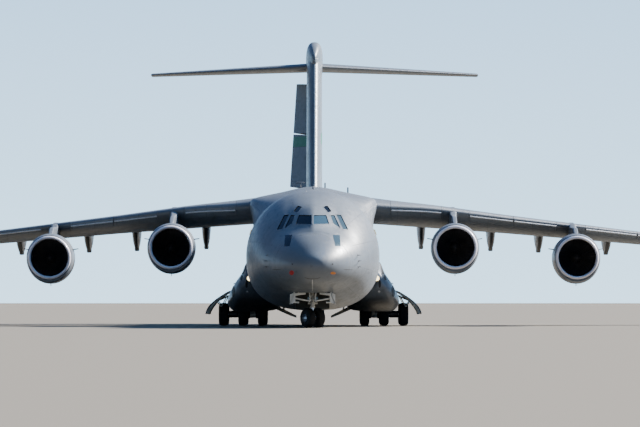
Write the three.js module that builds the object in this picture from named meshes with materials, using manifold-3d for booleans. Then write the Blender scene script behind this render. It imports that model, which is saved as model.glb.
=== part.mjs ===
// A four-engined military transport plane with a high swept wing, a T-tail and a loading ramp, parked on its gear.
// Lengths are the real aircraft's metres: X to its left side, Y aft from the nose tip, Z up from the ground.
// The group at the end turns them into the millimetres of a half-size model.
import * as THREE from "three";
import { mergeVertices } from "three/addons/utils/BufferGeometryUtils.js";
import Module from "manifold-3d";

const wasm = await Module();
wasm.setup();

// Scale and clearances
const MODEL_SCALE = 0.5;
const MM_PER_METRE = 1000 * MODEL_SCALE;
const LENGTH = 53.04; // nose tip to tailplane tips
const SEAM = 0.0008; // between fixed pieces that touch
const BEARING = 0.0012; // between a pin and its bore
const GAP = 0.03; // between a moving piece and its neighbours
const FAR = 80; // reach of a cutting block

// Fuselage
const SKIN_SIDES = 28;
const BAR_SIDES = 14;
const STEERED_SIDES = 24; // of the nose leg's sliding part and its bore
const RADOME_END = 1.85;
const FORWARD_END = 9.6;
const CENTRE_END = 31.5;
const FLOOR_Z = 1.63;
const HOLD_HALF_WIDTH = 2.7;
const HOLD_CEILING = 5.45;
const JACK_PAD = { y: 12, half: 0.15, low: 0.86, top: 1.2 };
const COCKPIT = { front: 2.0, back: 7.0, floor: 4.2, skin: 0.1, glass: 0.05 };
const ENTRY = { front: 7.3, halfWidth: 2.6, ceiling: 4.0 };
const NOSE_BAY = { front: 3.4, back: 6.95, halfWidth: 0.85, roof: 2.4 };

// Outer shape of the fuselage, one row per frame
// station, half width, top, bottom, height of the widest point, squareness of the lower half
const HULL = [
  [0.0, 0.12, 3.26, 3.02, 3.14, 2],
  [0.1, 0.5, 3.5, 2.8, 3.14, 2],
  [0.35, 0.9, 3.8, 2.55, 3.16, 2],
  [1.0, 1.5, 4.35, 2.22, 3.22, 2.1],
  [1.85, 2.02, 4.86, 2.04, 3.3, 2.2],
  [2.6, 2.38, 5.2, 1.93, 3.38, 2.3],
  [3.4, 2.69, 5.75, 1.78, 3.45, 2.4],
  [4.2, 2.92, 6.2, 1.5, 3.52, 2.5],
  [5.0, 3.1, 6.53, 1.25, 3.58, 2.6],
  [5.8, 3.23, 6.8, 1.06, 3.62, 2.7],
  [6.8, 3.35, 6.98, 0.94, 3.65, 2.8],
  [8.5, 3.43, 7.09, 0.88, 3.66, 3],
  [33.0, 3.43, 7.09, 0.88, 3.66, 3],
  [35.0, 3.36, 7.09, 1.45, 3.9, 3.3],
  [37.0, 3.2, 7.09, 2.03, 4.2, 3.4],
  [39.0, 2.9, 7.05, 2.62, 4.5, 3.4],
  [41.0, 2.5, 6.98, 3.23, 4.8, 3.3],
  [43.0, 2.05, 6.86, 3.85, 5.1, 3],
  [45.0, 1.6, 6.7, 4.45, 5.4, 2.7],
  [47.0, 1.0, 6.45, 5.05, 5.65, 2.3],
  [48.0, 0.6, 6.2, 5.35, 5.72, 2],
  [48.5, 0.3, 5.95, 5.5, 5.72, 2],
].map(([y, halfWidth, top, bottom, waist, square]) => ({ y, halfWidth, top, bottom, waist, square }));

// Crew door, cargo ramp and cargo door
const CREW_DOOR = { front: 7.6, back: 8.5, sill: 1.68, inner: 2.62, reach: 1.83, cove: 0.15, pin: 0.015 };
const RAMP = { front: 32.33, halfWidth: 2.7, toe: 38.2, heel: 1.63, toeTop: 2.8, knuckle: 0.05, knuckleHalf: 0.6 };
const CARGO_DOOR = { hinge: 44.6, frontHalf: 2.4, backHalf: 1.2, skin: 0.22, knuckle: 0.05, knuckleHalf: 0.25 };
const JOINT_LEAN = THREE.MathUtils.degToRad(21); // slope of the faces where ramp and cargo door meet
const HINGE_LEAN = THREE.MathUtils.degToRad(20); // of the cargo door's hinged end, which swings aft as the door rises

// Wing, with its root against the fairing
const WING = { root: 3.55, kink: 10.5, tip: 25.15, apex: 17.2, sweep: Math.tan(THREE.MathUtils.degToRad(28)) };
const WING_CHORD = { centre: 12.0, kink: 7.3, tip: 3.2 };
const WING_Z = { at: 3.9, mid: 6.175, slope: -0.0948 };
const WING_THICKNESS = { root: 0.13, tip: 0.125 };
const HINGE_AT = 0.75; // share of the chord in front of flaps and ailerons

// Flaps hang on fairings: ends, and the height of the hinge line at two fairings
// name, inner end, outer end, first fairing, its bottom, second fairing, its bottom
const FLAPS = [
  ["inboard", 4.08, 10.75, 6.0, 4.27, 9.9, 4.17],
  ["outboard", 11.08, 18.2, 12.6, 4.09, 16.55, 3.98],
].map(([name, inner, outer, at0, low0, at1, low1]) => ({ name, inner, outer, at0, low0, at1, low1 }));
const FAIRING = { topHalf: 0.225, bottomHalf: 0.13, forward: 2.9, aft: 2.6, knuckle: 0.08 };
const AILERON = { inner: 18.5, outer: 24.0, pin: 0.035 };
const PIN_DEPTH = 0.12;
const FLAP_ROOT_GAP = 0.17; // the inboard flap swings inwards past the wing fairing

// Fin, rudders and tailplane
const FIN = { lowZ: 6.0, lowFront: 36.04, lowChord: 9.71, highZ: 15.7, highFront: 43.6, highChord: 6.1 };
const FIN_THICKNESS = { low: 0.93, high: 0.9 };
const RUDDER = { at: 0.7, bottom: 7.9, split: 11.1, top: 14.2, endGap: 0.2, splitGap: 0.08, pin: 0.05 };
const RUDDER_NOTCH = { radius: 0.55, reach: 0.15 }; // lets each rudder swing past the other near their hinge line
const RUDDER_REST = THREE.MathUtils.degToRad(37); // both rudders stand over to the right side
const CAP = { front: 43.2, back: 51.2, mid: 15.55, halfHeight: 1.2, halfWidth: 0.5 };
const TAIL = { front: 45.0, chord: 5.6, tip: 9.905, tipFront: 50.74, tipChord: 2.3, z: 15.25, tipZ: 15.02 };
const TAIL_THICKNESS = { root: 0.52, tip: 0.2 };
const ELEVATOR = { at: 0.7, inner: 0.62, pin: 0.03, pinReach: 0.2 };

// Engines: place of the inlet lip's centre, one row per side position
// name, lateral place, station of the lip, height
const ENGINES = [
  ["inner", 7.55, 15.7, 4.2],
  ["outer", 14.2, 19.3, 3.69],
].map(([name, x, lip, z]) => ({ name, x, lip, z }));
const VANE_WALL = 1.12; // radius of the duct at the guide vanes
// station behind the lip and radius, round the cowl's wall from the lip's front outwards
const COWL = [
  [0.0, 1.08],
  [0.1, 1.165],
  [0.5, 1.235],
  [1.3, 1.26],
  [2.5, 1.24],
  [3.9, 1.1],
  [3.9, 1.06],
  [2.9, VANE_WALL],
  [2.3, VANE_WALL],
  [1.2, 1.0],
  [0.3, 1.0],
  [0.08, 1.02],
];
const COWL_OUTER = 6; // rows of the table that lie on the outside
const COWL_SIDES = 24;
const COWL_DROP = 1.12; // how much deeper the cowl is below its centre line than above
const FAN = { front: 0.95, back: 1.45, hub: 0.34, tip: 0.965, blades: 14, chord: 0.3, thick: 0.035 };
const CORE = [
  [0, 1.4502],
  [0.36, 1.4502],
  [0.6, 2.4],
  [0.8, 3.4],
  [0.72, 4.4],
  [0.46, 6.0],
  [0.4, 6.0],
  [0.3, 5.5],
  [0, 5.5],
];
const SHAFT = { radius: 0.12, length: 0.25 };
const VANES = { count: 8, front: 2.35, back: 2.85, thick: 0.1 };
const PYLON_HALF = 0.225;

// Gear
const TYRE_SIDES = 20;
const MAIN_TYRE = { radius: 0.635, width: 0.533, rim: 0.28, dish: 0.13 };
const NOSE_TYRE = { radius: 0.508, width: 0.406, rim: 0.2, dish: 0.1 };
const MAIN_TYRES_X = [2.8, 3.87, 4.94];
const MAIN_AXLES = { front: 24.8, rear: 27.3 };
const MAIN_POST = { x: 3.335, radius: 0.17, axle: 0.09, hub: 0.2, hubHalf: 0.13 };
const NOSE_GEAR = { y: 6.05, spacing: 0.6, steer: THREE.MathUtils.degToRad(35), post: 0.075, axle: 0.05 };
const NOSE_LEG = { radius: 0.15, low: 1.12, socket: 0.35 };
const WELL = { front: 23.75, back: 28.35, inner: 1.85, roof: 1.95 };

// Gear pods: outline of the full section, and how it shrinks towards both ends
// lateral place, height
const POD_OUTLINE = [
  [1.9, 1.5],
  [1.9, 0.98],
  [2.4, 0.83],
  [4.05, 0.8],
  [4.4, 0.92],
  [4.6, 1.25],
  [4.62, 1.65],
  [4.38, 2.3],
  [3.95, 3.0],
  [3.4, 3.7],
  [2.6, 3.95],
];
// station, share of the full section, lateral place of the section's centre
const POD_FRAMES = [
  [15.9, 0.12],
  [16.05, 0.35],
  [16.5, 0.62],
  [17.4, 0.86],
  [18.8, 1],
  [28.9, 1],
  [30.6, 0.82],
  [32.0, 0.45],
  [32.8, 0.12],
];
const POD_CENTRE = [3.62, 2.3];

// Fairing over the wing's centre section: station, half width, top, bottom
const SADDLE = [
  [14.6, 1.2, 7.08, 6.6],
  [15.4, 2.2, 7.25, 6.0],
  [16.8, 3.1, 7.42, 5.5],
  [18.6, 3.5492, 7.5, 5.2],
  [30.0, 3.5492, 7.5, 5.2],
  [31.6, 2.9, 7.36, 5.7],
  [33.4, 1.4, 7.08, 6.6],
].map(([y, halfWidth, top, bottom]) => ({ y, halfWidth, top, bottom }));

// How far the fairing's arch falls below its top: share of the half width, fall of the full section
const SADDLE_ARCH = [
  [1, 0.95],
  [0.97, 0.7],
  [0.735, 0.48],
  [0.49, 0.32],
  [0.2, 0.1],
];

const vec = (x, y, z) => new THREE.Vector3(x, y, z);
const X_AXIS = vec(1, 0, 0);
const Y_AXIS = vec(0, 1, 0);
const Z_AXIS = vec(0, 0, 1);

// Solids

// A closed geometry as a solid, turned right side out if its faces point inwards.
function solid(geometry) {
  const plain = geometry.index ? geometry.toNonIndexed() : geometry.clone();
  plain.deleteAttribute("normal");
  plain.deleteAttribute("uv");
  const merged = mergeVertices(plain, 1e-5);
  const triVerts = new Uint32Array(merged.index.array);
  const make = () =>
    new wasm.Manifold(
      new wasm.Mesh({ numProp: 3, vertProperties: merged.attributes.position.array, triVerts }),
    );
  const first = make();
  if (first.volume() > 0) return first;
  for (let i = 0; i < triVerts.length; i += 3) {
    [triVerts[i + 1], triVerts[i + 2]] = [triVerts[i + 2], triVerts[i + 1]];
  }
  return make();
}

// A solid as geometry for a mesh.
function geometryOf(body) {
  const mesh = body.getMesh();
  const positions = new Float32Array(mesh.numVert * 3);
  for (let i = 0; i < mesh.numVert; i++) {
    const start = i * mesh.numProp;
    positions.set(mesh.vertProperties.subarray(start, start + 3), i * 3);
  }
  return new THREE.BufferGeometry()
    .setAttribute("position", new THREE.BufferAttribute(positions, 3))
    .setIndex(new THREE.BufferAttribute(new Uint32Array(mesh.triVerts), 1));
}

const join = (...bodies) => bodies.reduce((all, body) => all.add(body));
const common = (...bodies) => bodies.reduce((all, body) => all.intersect(body));
const cut = (body, ...others) => others.reduce((left, other) => left.subtract(other), body);
const placed = (body, matrix) => solid(geometryOf(body).applyMatrix4(matrix));

// The skin through a row of rings with equal point counts, closed at both ends and split alike on both sides.
function loft(rings) {
  const count = rings[0].length;
  const positions = rings.flat().flatMap((p) => [p.x, p.y, p.z]);
  const index = [];
  for (let r = 0; r + 1 < rings.length; r++) {
    for (let i = 0; i < count; i++) {
      const a = r * count + i;
      const b = r * count + ((i + 1) % count);
      const onLeft = rings[r][i].x + rings[r][(i + 1) % count].x > 0;
      if (onLeft) index.push(a, b, b + count, a, b + count, a + count);
      else index.push(a, b, a + count, b, b + count, a + count);
    }
  }
  const last = (rings.length - 1) * count;
  for (let i = 1; i + 1 < count; i++) {
    index.push(0, i + 1, i, last, last + i, last + i + 1);
  }
  const geometry = new THREE.BufferGeometry();
  geometry.setAttribute("position", new THREE.Float32BufferAttribute(positions, 3));
  geometry.setIndex(index);
  return solid(geometry);
}

function box(x0, x1, y0, y1, z0, z1) {
  const geometry = new THREE.BoxGeometry(x1 - x0, y1 - y0, z1 - z0);
  return solid(geometry.translate((x0 + x1) / 2, (y0 + y1) / 2, (z0 + z1) / 2));
}

// The block that lies beyond a plane, on the side that the normal points to.
function beyond(point, normal) {
  const turn = new THREE.Quaternion().setFromUnitVectors(Z_AXIS, normal.clone().normalize());
  const geometry = new THREE.BoxGeometry(FAR, FAR, FAR).translate(0, 0, FAR / 2);
  return solid(geometry.applyQuaternion(turn).translate(point.x, point.y, point.z));
}

// A round bar from a to b. A bore's facets face the corners of the pin that turns in it.
function bar(a, b, radiusA, radiusB = radiusA, sides = BAR_SIDES, bored = false) {
  const grow = bored ? 1 / Math.cos(Math.PI / sides) : 1;
  const along = b.clone().sub(a);
  const geometry = new THREE.CylinderGeometry(radiusB * grow, radiusA * grow, along.length(), sides);
  if (bored) geometry.rotateY(Math.PI / sides);
  const turn = new THREE.Quaternion().setFromUnitVectors(Y_AXIS, along.clone().normalize());
  const mid = a.clone().add(b).multiplyScalar(0.5);
  return solid(geometry.applyQuaternion(turn).translate(mid.x, mid.y, mid.z));
}

// An outline of station and height pairs, extruded from one lateral place to another.
function sidePrism(points, x0, x1) {
  const shape = new THREE.Shape(points.map(([y, z]) => new THREE.Vector2(y, z)));
  const geometry = new THREE.ExtrudeGeometry(shape, { depth: x1 - x0, bevelEnabled: false });
  const matrix = new THREE.Matrix4().makeBasis(Y_AXIS, Z_AXIS, X_AXIS);
  return solid(geometry.applyMatrix4(matrix).translate(x0, 0, 0));
}

// An outline of lateral and height pairs, extruded from one station to another.
function frontPrism(points, y0, y1) {
  const shape = new THREE.Shape(points.map(([x, z]) => new THREE.Vector2(x, z)));
  const geometry = new THREE.ExtrudeGeometry(shape, { depth: y1 - y0, bevelEnabled: false });
  const matrix = new THREE.Matrix4().makeBasis(X_AXIS, Z_AXIS, vec(0, -1, 0));
  return solid(geometry.applyMatrix4(matrix).translate(0, y1, 0));
}

// An outline of lateral and station pairs, extruded between two heights.
function planPrism(points, z0, z1) {
  const shape = new THREE.Shape(points.map(([x, y]) => new THREE.Vector2(x, y)));
  const geometry = new THREE.ExtrudeGeometry(shape, { depth: z1 - z0, bevelEnabled: false });
  return solid(geometry.translate(0, 0, z0));
}

// A turned body about a line along the fuselage, from pairs of radius and station.
function turnedAlongY(profile, sides) {
  const points = profile.map(([radius, y]) => new THREE.Vector2(radius, y));
  return solid(new THREE.LatheGeometry(points, sides));
}

// Fuselage

function hullAt(y) {
  const next = Math.max(1, HULL.findIndex((row) => row.y >= y));
  const [a, b] = [HULL[next - 1], HULL[next]];
  const t = (y - a.y) / (b.y - a.y);
  return Object.fromEntries(Object.keys(a).map((key) => [key, a[key] + (b[key] - a[key]) * t]));
}

// One frame of the fuselage, smaller all round by inset.
function hullRing(row, inset) {
  const ring = [];
  const halfWidth = Math.max(0.02, row.halfWidth - inset);
  const above = Math.max(0.02, row.top - inset - row.waist);
  const below = Math.max(0.02, row.waist - row.bottom - inset);
  for (let i = 0; i < SKIN_SIDES; i++) {
    const angle = (2 * Math.PI * i) / SKIN_SIDES;
    const [c, s] = [Math.cos(angle), Math.sin(angle)];
    if (s >= -1e-9) {
      ring.push(vec(halfWidth * c, row.y, row.waist + above * s));
    } else {
      const across = Math.sign(c) * Math.abs(c) ** (2 / row.square);
      ring.push(vec(halfWidth * across, row.y, row.waist - below * Math.abs(s) ** (2 / row.square)));
    }
  }
  return ring;
}

const hull = (inset = 0) => loft(HULL.map((row) => hullRing(row, inset)));
const HULL_SKIN = hull();
const HULL_CLEAR = hull(-SEAM);
const slice = (body, y0, y1) => common(body, box(-FAR, FAR, y0, y1, -FAR, FAR));

// The cargo hold's section, and the hold itself between two stations.
const HOLD_OUTLINE = [
  [-HOLD_HALF_WIDTH, FLOOR_Z],
  [HOLD_HALF_WIDTH, FLOOR_Z],
  [HOLD_HALF_WIDTH, 4.4],
  [2.3, 5.15],
  [1.5, HOLD_CEILING],
  [-1.5, HOLD_CEILING],
  [-2.3, 5.15],
  [-HOLD_HALF_WIDTH, 4.4],
];
const hold = (y0, y1) => frontPrism(HOLD_OUTLINE, y0, y1);

// Cockpit windows as outlines seen from the front, for the aircraft's left side
const WINDOWS = [
  [[0.07, 5.24], [0.83, 5.26], [0.68, 5.68], [0.07, 5.67]],
  [[1.04, 5.26], [1.41, 5.02], [1.1, 5.7], [0.9, 5.69]],
  [[1.53, 4.98], [1.8, 4.95], [1.44, 5.7], [1.2, 5.73]],
  [[0.76, 5.85], [0.92, 5.9], [0.73, 6.15], [0.56, 6.1]],
];
const WINDOW_DEPTH = [1.5, 4.6];

function windowCuts() {
  const cuts = [];
  for (const side of [1, -1]) {
    for (const outline of WINDOWS) {
      cuts.push(frontPrism(outline.map(([x, z]) => [side * x, z]), ...WINDOW_DEPTH));
    }
  }
  return cuts;
}

const CREW_HINGE_X = hullAt(8).halfWidth * 0.84;
const crewHinge = (y) => vec(CREW_HINGE_X, y, CREW_DOOR.sill);

// The wall that the crew door takes up, grown by a margin all round.
function crewDoorSpace(margin) {
  const { front, back, sill, inner, reach } = CREW_DOOR;
  const [a, b] = [crewHinge(front - margin), crewHinge(back + margin)];
  const block = box(inner - margin, FAR, front - margin, back + margin, sill - margin, FAR);
  return common(bar(a, b, reach + margin, reach + margin, 48), block);
}

function forwardFuselage() {
  const { front, back, floor, skin } = COCKPIT;
  const room = common(hull(skin), box(-FAR, FAR, front, back, floor, FAR));
  const entry = box(-ENTRY.halfWidth, ENTRY.halfWidth, ENTRY.front, FORWARD_END + 1, FLOOR_Z, ENTRY.ceiling);
  const bay = box(-NOSE_BAY.halfWidth, NOSE_BAY.halfWidth, NOSE_BAY.front, NOSE_BAY.back, -1, NOSE_BAY.roof);
  const shell = slice(HULL_SKIN, RADOME_END + SEAM, FORWARD_END);
  const cove = bar(crewHinge(CREW_DOOR.front - GAP), crewHinge(CREW_DOOR.back + GAP), CREW_DOOR.cove);
  return cut(shell, room, entry, bay, crewDoorSpace(GAP), cove, ...windowCuts());
}

// The forward fuselage and the crew door, which turns on a pin at each end of its sill.
function frontSet() {
  const pair = { moving: common(HULL_SKIN, crewDoorSpace(0)), fixed: forwardFuselage() };
  addPin(pair, crewHinge(CREW_DOOR.front), Y_AXIS.clone().negate(), CREW_DOOR.pin);
  addPin(pair, crewHinge(CREW_DOOR.back), Y_AXIS, CREW_DOOR.pin);
  return pair;
}

function cockpitGlass() {
  const { skin, glass } = COCKPIT;
  const pane = cut(hull(skin + SEAM), hull(skin + glass));
  return common(pane, box(-2.1, 2.1, 2.3, 4.9, 4.8, 6.3));
}

const radome = () => slice(HULL_SKIN, -1, RADOME_END);

function centreFuselage() {
  const shell = slice(HULL_SKIN, FORWARD_END + SEAM, CENTRE_END);
  const { y, half, low, top } = JACK_PAD;
  return join(cut(shell, hold(FORWARD_END - 1, CENTRE_END + 1)), box(-half, half, y - half, y + half, low, top));
}

// Ramp and cargo door meet at a face that both leave squarely as they swing.
const JOINT_POINT = vec(0, RAMP.toe, RAMP.toeTop);
const JOINT_NORMAL = vec(0, Math.cos(JOINT_LEAN), Math.sin(JOINT_LEAN));
const jointFace = (step) => JOINT_POINT.clone().addScaledVector(JOINT_NORMAL, step);
const RAMP_HINGE_Z = 0.88 + RAMP.knuckle;
const DOOR_HINGE_Z = hullAt(CARGO_DOOR.hinge).bottom + CARGO_DOOR.knuckle;

function rampSpace(margin) {
  const { front, halfWidth } = RAMP;
  const block = box(-halfWidth - margin, halfWidth + margin, front - margin, FAR, -1, 4.3);
  return cut(block, beyond(jointFace(margin), JOINT_NORMAL));
}

function ramp() {
  const { front, toe, heel, toeTop, knuckle, knuckleHalf } = RAMP;
  const under = sidePrism([[front, -1], [toe + 2, -1], [toe + 2, toeTop + 0.4], [toe, toeTop], [front, heel]], -4, 4);
  const barrel = bar(vec(-knuckleHalf, front, RAMP_HINGE_Z), vec(knuckleHalf, front, RAMP_HINGE_Z), knuckle);
  return join(common(HULL_SKIN, rampSpace(0), under), barrel);
}

function doorSpace(margin) {
  const { hinge, frontHalf, backHalf } = CARGO_DOOR;
  const [f, b] = [frontHalf + margin, backHalf + margin];
  const start = RAMP.toe - 0.6;
  const block = planPrism([[-f, start], [f, start], [b, hinge + margin], [-b, hinge + margin]], 0, 4.75);
  return common(block, beyond(jointFace(GAP - 1.5 * margin), JOINT_NORMAL));
}

function cargoDoor() {
  const { hinge, skin, knuckle, knuckleHalf } = CARGO_DOOR;
  const shell = cut(HULL_SKIN, hull(skin));
  const barrel = bar(vec(-knuckleHalf, hinge, DOOR_HINGE_Z), vec(knuckleHalf, hinge, DOOR_HINGE_Z), knuckle);
  const swing = beyond(vec(0, hinge, DOOR_HINGE_Z), vec(0, Math.cos(HINGE_LEAN), Math.sin(HINGE_LEAN)));
  return join(cut(common(shell, doorSpace(0)), swing), barrel);
}

function aftFuselage() {
  const shell = slice(HULL_SKIN, CENTRE_END + SEAM, FAR);
  const overRamp = box(-2.74, 2.74, 32.2, 38.2, FLOOR_Z, 5.9);
  const overDoor = box(-FAR, FAR, 38.1, CARGO_DOOR.hinge + 0.3, 2.4, 6.3);
  const room = common(hull(0.16), join(overRamp, overDoor));
  const seat = (y, z, radius, half) =>
    bar(vec(-half - GAP, y, z), vec(half + GAP, y, z), radius + BEARING, radius + BEARING, BAR_SIDES, true);
  return cut(
    shell,
    hold(CENTRE_END - 1, 33.4),
    room,
    rampSpace(GAP),
    doorSpace(GAP),
    seat(RAMP.front, RAMP_HINGE_Z, RAMP.knuckle, RAMP.knuckleHalf),
    seat(CARGO_DOOR.hinge, DOOR_HINGE_Z, CARGO_DOOR.knuckle, CARGO_DOOR.knuckleHalf),
  );
}

// The fairing that joins the wing to the top of the fuselage.
function wingFairing() {
  const rings = SADDLE.map(({ y, halfWidth, top, bottom }) => {
    const bend = (halfWidth / 3.55) ** 2;
    const half = [
      vec(halfWidth * 0.86, y, bottom - 0.25),
      vec(halfWidth, y, bottom),
      ...SADDLE_ARCH.map(([share, fall]) => vec(halfWidth * share, y, top - fall * bend)),
    ];
    return [...half, vec(0, y, top), ...half.reverse().map((p) => vec(-p.x, p.y, p.z))];
  });
  return cut(loft(rings), HULL_CLEAR);
}

// Wing and tail surfaces

// Half thickness of an aerofoil of unit thickness at a share of its chord.
function halfThickness(s) {
  return 5 * (0.2969 * Math.sqrt(s) - 0.126 * s - 0.3516 * s ** 2 + 0.2843 * s ** 3 - 0.1015 * s ** 4);
}

const FOIL_STEPS = 7;

// An aerofoil's ring: its nose at x, y, z, its thickness leaning from upright by roll.
function foilRing({ x, y, z, chord, thickness, roll = 0 }, grow = 0) {
  const up = vec(-Math.sin(roll), 0, Math.cos(roll));
  const ring = [];
  const add = (s, side) => {
    const lift = side * (halfThickness(s) * thickness + grow);
    ring.push(vec(x, y - grow + s * (chord + 2 * grow), z).addScaledVector(up, lift));
  };
  for (let i = 0; i <= FOIL_STEPS; i++) add((1 - Math.cos((Math.PI * i) / FOIL_STEPS)) / 2 + (i ? 0 : 0.0008), 1);
  for (let i = FOIL_STEPS; i >= 0; i--) add((1 - Math.cos((Math.PI * i) / FOIL_STEPS)) / 2 + (i ? 0 : 0.0008), -1);
  return ring;
}

const surface = (rows, grow = 0) => loft(rows.map((row) => foilRing(row, grow)));

function wingRow(x) {
  const inboard = x <= WING.kink;
  const t = inboard ? x / WING.kink : (x - WING.kink) / (WING.tip - WING.kink);
  const [from, to] = inboard ? [WING_CHORD.centre, WING_CHORD.kink] : [WING_CHORD.kink, WING_CHORD.tip];
  const chord = from + (to - from) * t;
  const share = x / WING.tip;
  const ratio = WING_THICKNESS.root + (WING_THICKNESS.tip - WING_THICKNESS.root) * share;
  const z = WING_Z.mid + WING_Z.slope * (x - WING_Z.at);
  return { x, y: WING.apex + WING.sweep * x, z, chord, thickness: ratio * chord };
}

const WING_ROWS = [WING.root, WING.kink, WING.tip].map(wingRow);

// The parts of a surface in front of and behind a hinge line, with a round nose on the moving one.
// ends holds the normals of the two end faces, both pointing away from the moving piece, and endGaps their gaps.
function splitAtHinge(body, a, b, radiusA, radiusB, aft, ends, endGaps = [GAP, GAP]) {
  const space = (margin) => {
    const along = b.clone().sub(a).normalize();
    const nose = bar(
      a.clone().addScaledVector(along, -1),
      b.clone().addScaledVector(along, 1),
      radiusA + margin,
      radiusB + margin,
      16,
    );
    return cut(
      join(beyond(a, aft), nose),
      beyond(a.clone().addScaledVector(ends[0], margin && endGaps[0]), ends[0]),
      beyond(b.clone().addScaledVector(ends[1], margin && endGaps[1]), ends[1]),
    );
  };
  return { moving: common(body, space(0)), fixed: cut(body, space(GAP)) };
}

// A pin at a hinged piece's end, with its bore in the fixed piece.
function addPin(pieces, point, outward, radius, gap = GAP) {
  const inner = point.clone().addScaledVector(outward, -PIN_DEPTH);
  const outer = point.clone().addScaledVector(outward, gap + PIN_DEPTH);
  const bottom = outer.clone().addScaledVector(outward, GAP);
  pieces.moving = join(pieces.moving, bar(inner, outer, radius, radius, 12));
  pieces.fixed = cut(pieces.fixed, bar(inner, bottom, radius + BEARING, radius + BEARING, 12, true));
}

// The point on the wing's chord plane at a share of the chord.
function wingPoint(x, share) {
  const row = wingRow(x);
  return vec(x, row.y + share * row.chord, row.z);
}

// A flap's hinge line runs low through its fairings, under the flap's front face.
function flapAxis({ inner, outer, at0, low0, at1, low1 }) {
  const height = (x) => low0 + ((low1 - low0) * (x - at0)) / (at1 - at0) + FAIRING.knuckle;
  const [a, b] = [inner, outer].map((x) => {
    const p = wingPoint(x, HINGE_AT);
    return vec(p.x, p.y, height(x));
  });
  const along = b.clone().sub(a).normalize();
  const aft = along.clone().cross(vec(0, 0, -1)).normalize();
  if (aft.y < 0) aft.negate();
  const at = (x) => a.clone().addScaledVector(along, (x - a.x) / along.x);
  return { a, b, along, aft, at };
}

// A fairing's boat-shaped body, deepest at the hinge line.
function fairingBody(x, axis) {
  const point = axis.at(x);
  const low = point.z - FAIRING.knuckle;
  const high = wingRow(x).z;
  const row = (y, z, share) => {
    const [t, b] = [FAIRING.topHalf * share, FAIRING.bottomHalf * share];
    return [vec(x - b, y, z), vec(x + b, y, z), vec(x + t, y, high), vec(x - t, y, high)];
  };
  return loft([
    row(point.y - FAIRING.forward, high - 0.1, 0.3),
    row(point.y - FAIRING.forward * 0.5, low + 0.35, 0.95),
    row(point.y - 0.3, low + 0.02, 1),
    row(point.y - 0.06, low, 1),
    row(point.y + 0.4, low + 0.17, 1),
    row(point.y + FAIRING.aft * 0.6, low + 0.62, 0.8),
    row(point.y + FAIRING.aft, high - 0.1, 0.25),
  ]);
}

function wingSet() {
  let wing = surface(WING_ROWS);
  const pieces = {};
  for (const flap of FLAPS) {
    const axis = flapAxis(flap);
    const front = (step) => axis.a.clone().addScaledVector(axis.aft, step);
    const region = (margin) =>
      cut(
        beyond(front(-margin), axis.aft),
        beyond(axis.a.clone().addScaledVector(axis.along, -margin), axis.along.clone().negate()),
        beyond(axis.b.clone().addScaledVector(axis.along, margin), axis.along),
      );
    const outward = box(WING.root + FLAP_ROOT_GAP, FAR, -FAR, FAR, -FAR, FAR);
    let moving = common(wing, region(0), outward);
    wing = cut(wing, region(GAP));
    for (const x of [flap.at0, flap.at1]) {
      const body = fairingBody(x, axis);
      const half = FAIRING.bottomHalf;
      const knuckleEnds = [-half, half].map((step) => axis.at(x + step));
      const seatEnds = [-2 * half, 2 * half].map((step) => axis.at(x + step));
      const barrel = bar(...knuckleEnds, FAIRING.knuckle, FAIRING.knuckle, 12);
      const seat = bar(...seatEnds, FAIRING.knuckle + BEARING, FAIRING.knuckle + BEARING, 12, true);
      moving = join(moving, common(body, beyond(front(0), axis.aft)), barrel);
      wing = cut(join(wing, cut(body, beyond(front(-GAP), axis.aft))), seat);
    }
    pieces["flap_" + flap.name] = moving;
  }
  const [a, b] = [AILERON.inner, AILERON.outer].map((x) => wingPoint(x, HINGE_AT));
  const [ra, rb] = [AILERON.inner, AILERON.outer].map((x) => wingRow(x).thickness * halfThickness(HINGE_AT));
  const along = b.clone().sub(a).normalize();
  const aft = vec(-along.y, along.x, 0).normalize();
  const split = splitAtHinge(wing, a, b, ra, rb, aft, [along.clone().negate(), along]);
  addPin(split, a, along.clone().negate(), AILERON.pin);
  addPin(split, b, along, AILERON.pin);
  pieces.aileron = split.moving;
  pieces.wing = split.fixed;
  return pieces;
}

// The winglet turns up from the wing's tip and leans outwards.
function winglet() {
  const tip = wingRow(WING.tip);
  const rows = [
    { ...tip, x: tip.x + SEAM },
    { x: tip.x + 0.22, y: tip.y + 0.2, z: tip.z + 0.03, chord: 2.95, thickness: 0.34, roll: 0.35 },
    { x: tip.x + 0.4, y: tip.y + 0.5, z: tip.z + 0.25, chord: 2.6, thickness: 0.28, roll: 1.0 },
    { x: tip.x + 0.47, y: tip.y + 0.8, z: tip.z + 0.6, chord: 2.3, thickness: 0.24, roll: 1.35 },
    { x: tip.x + 0.73, y: tip.y + 2.6, z: tip.z + 2.9, chord: 1.15, thickness: 0.12, roll: 1.45 },
  ];
  return surface(rows);
}

function tailplaneRow(x) {
  const t = Math.abs(x) / TAIL.tip;
  const mix = (from, to) => from + (to - from) * t;
  return {
    x,
    y: mix(TAIL.front, TAIL.tipFront),
    z: mix(TAIL.z, TAIL.tipZ),
    chord: mix(TAIL.chord, TAIL.tipChord),
    thickness: mix(TAIL_THICKNESS.root, TAIL_THICKNESS.tip),
  };
}

const tailSurface = (grow = 0) => surface([-TAIL.tip, 0, TAIL.tip].map(tailplaneRow), grow);

function tailPoint(x) {
  const row = tailplaneRow(x);
  return vec(x, row.y + ELEVATOR.at * row.chord, row.z);
}

function finRow(z) {
  const t = (z - FIN.lowZ) / (FIN.highZ - FIN.lowZ);
  const mix = (from, to) => from + (to - from) * t;
  return {
    x: 0,
    y: mix(FIN.lowFront, FIN.highFront),
    z,
    chord: mix(FIN.lowChord, FIN.highChord),
    thickness: mix(FIN_THICKNESS.low, FIN_THICKNESS.high),
    roll: Math.PI / 2,
  };
}

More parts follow.
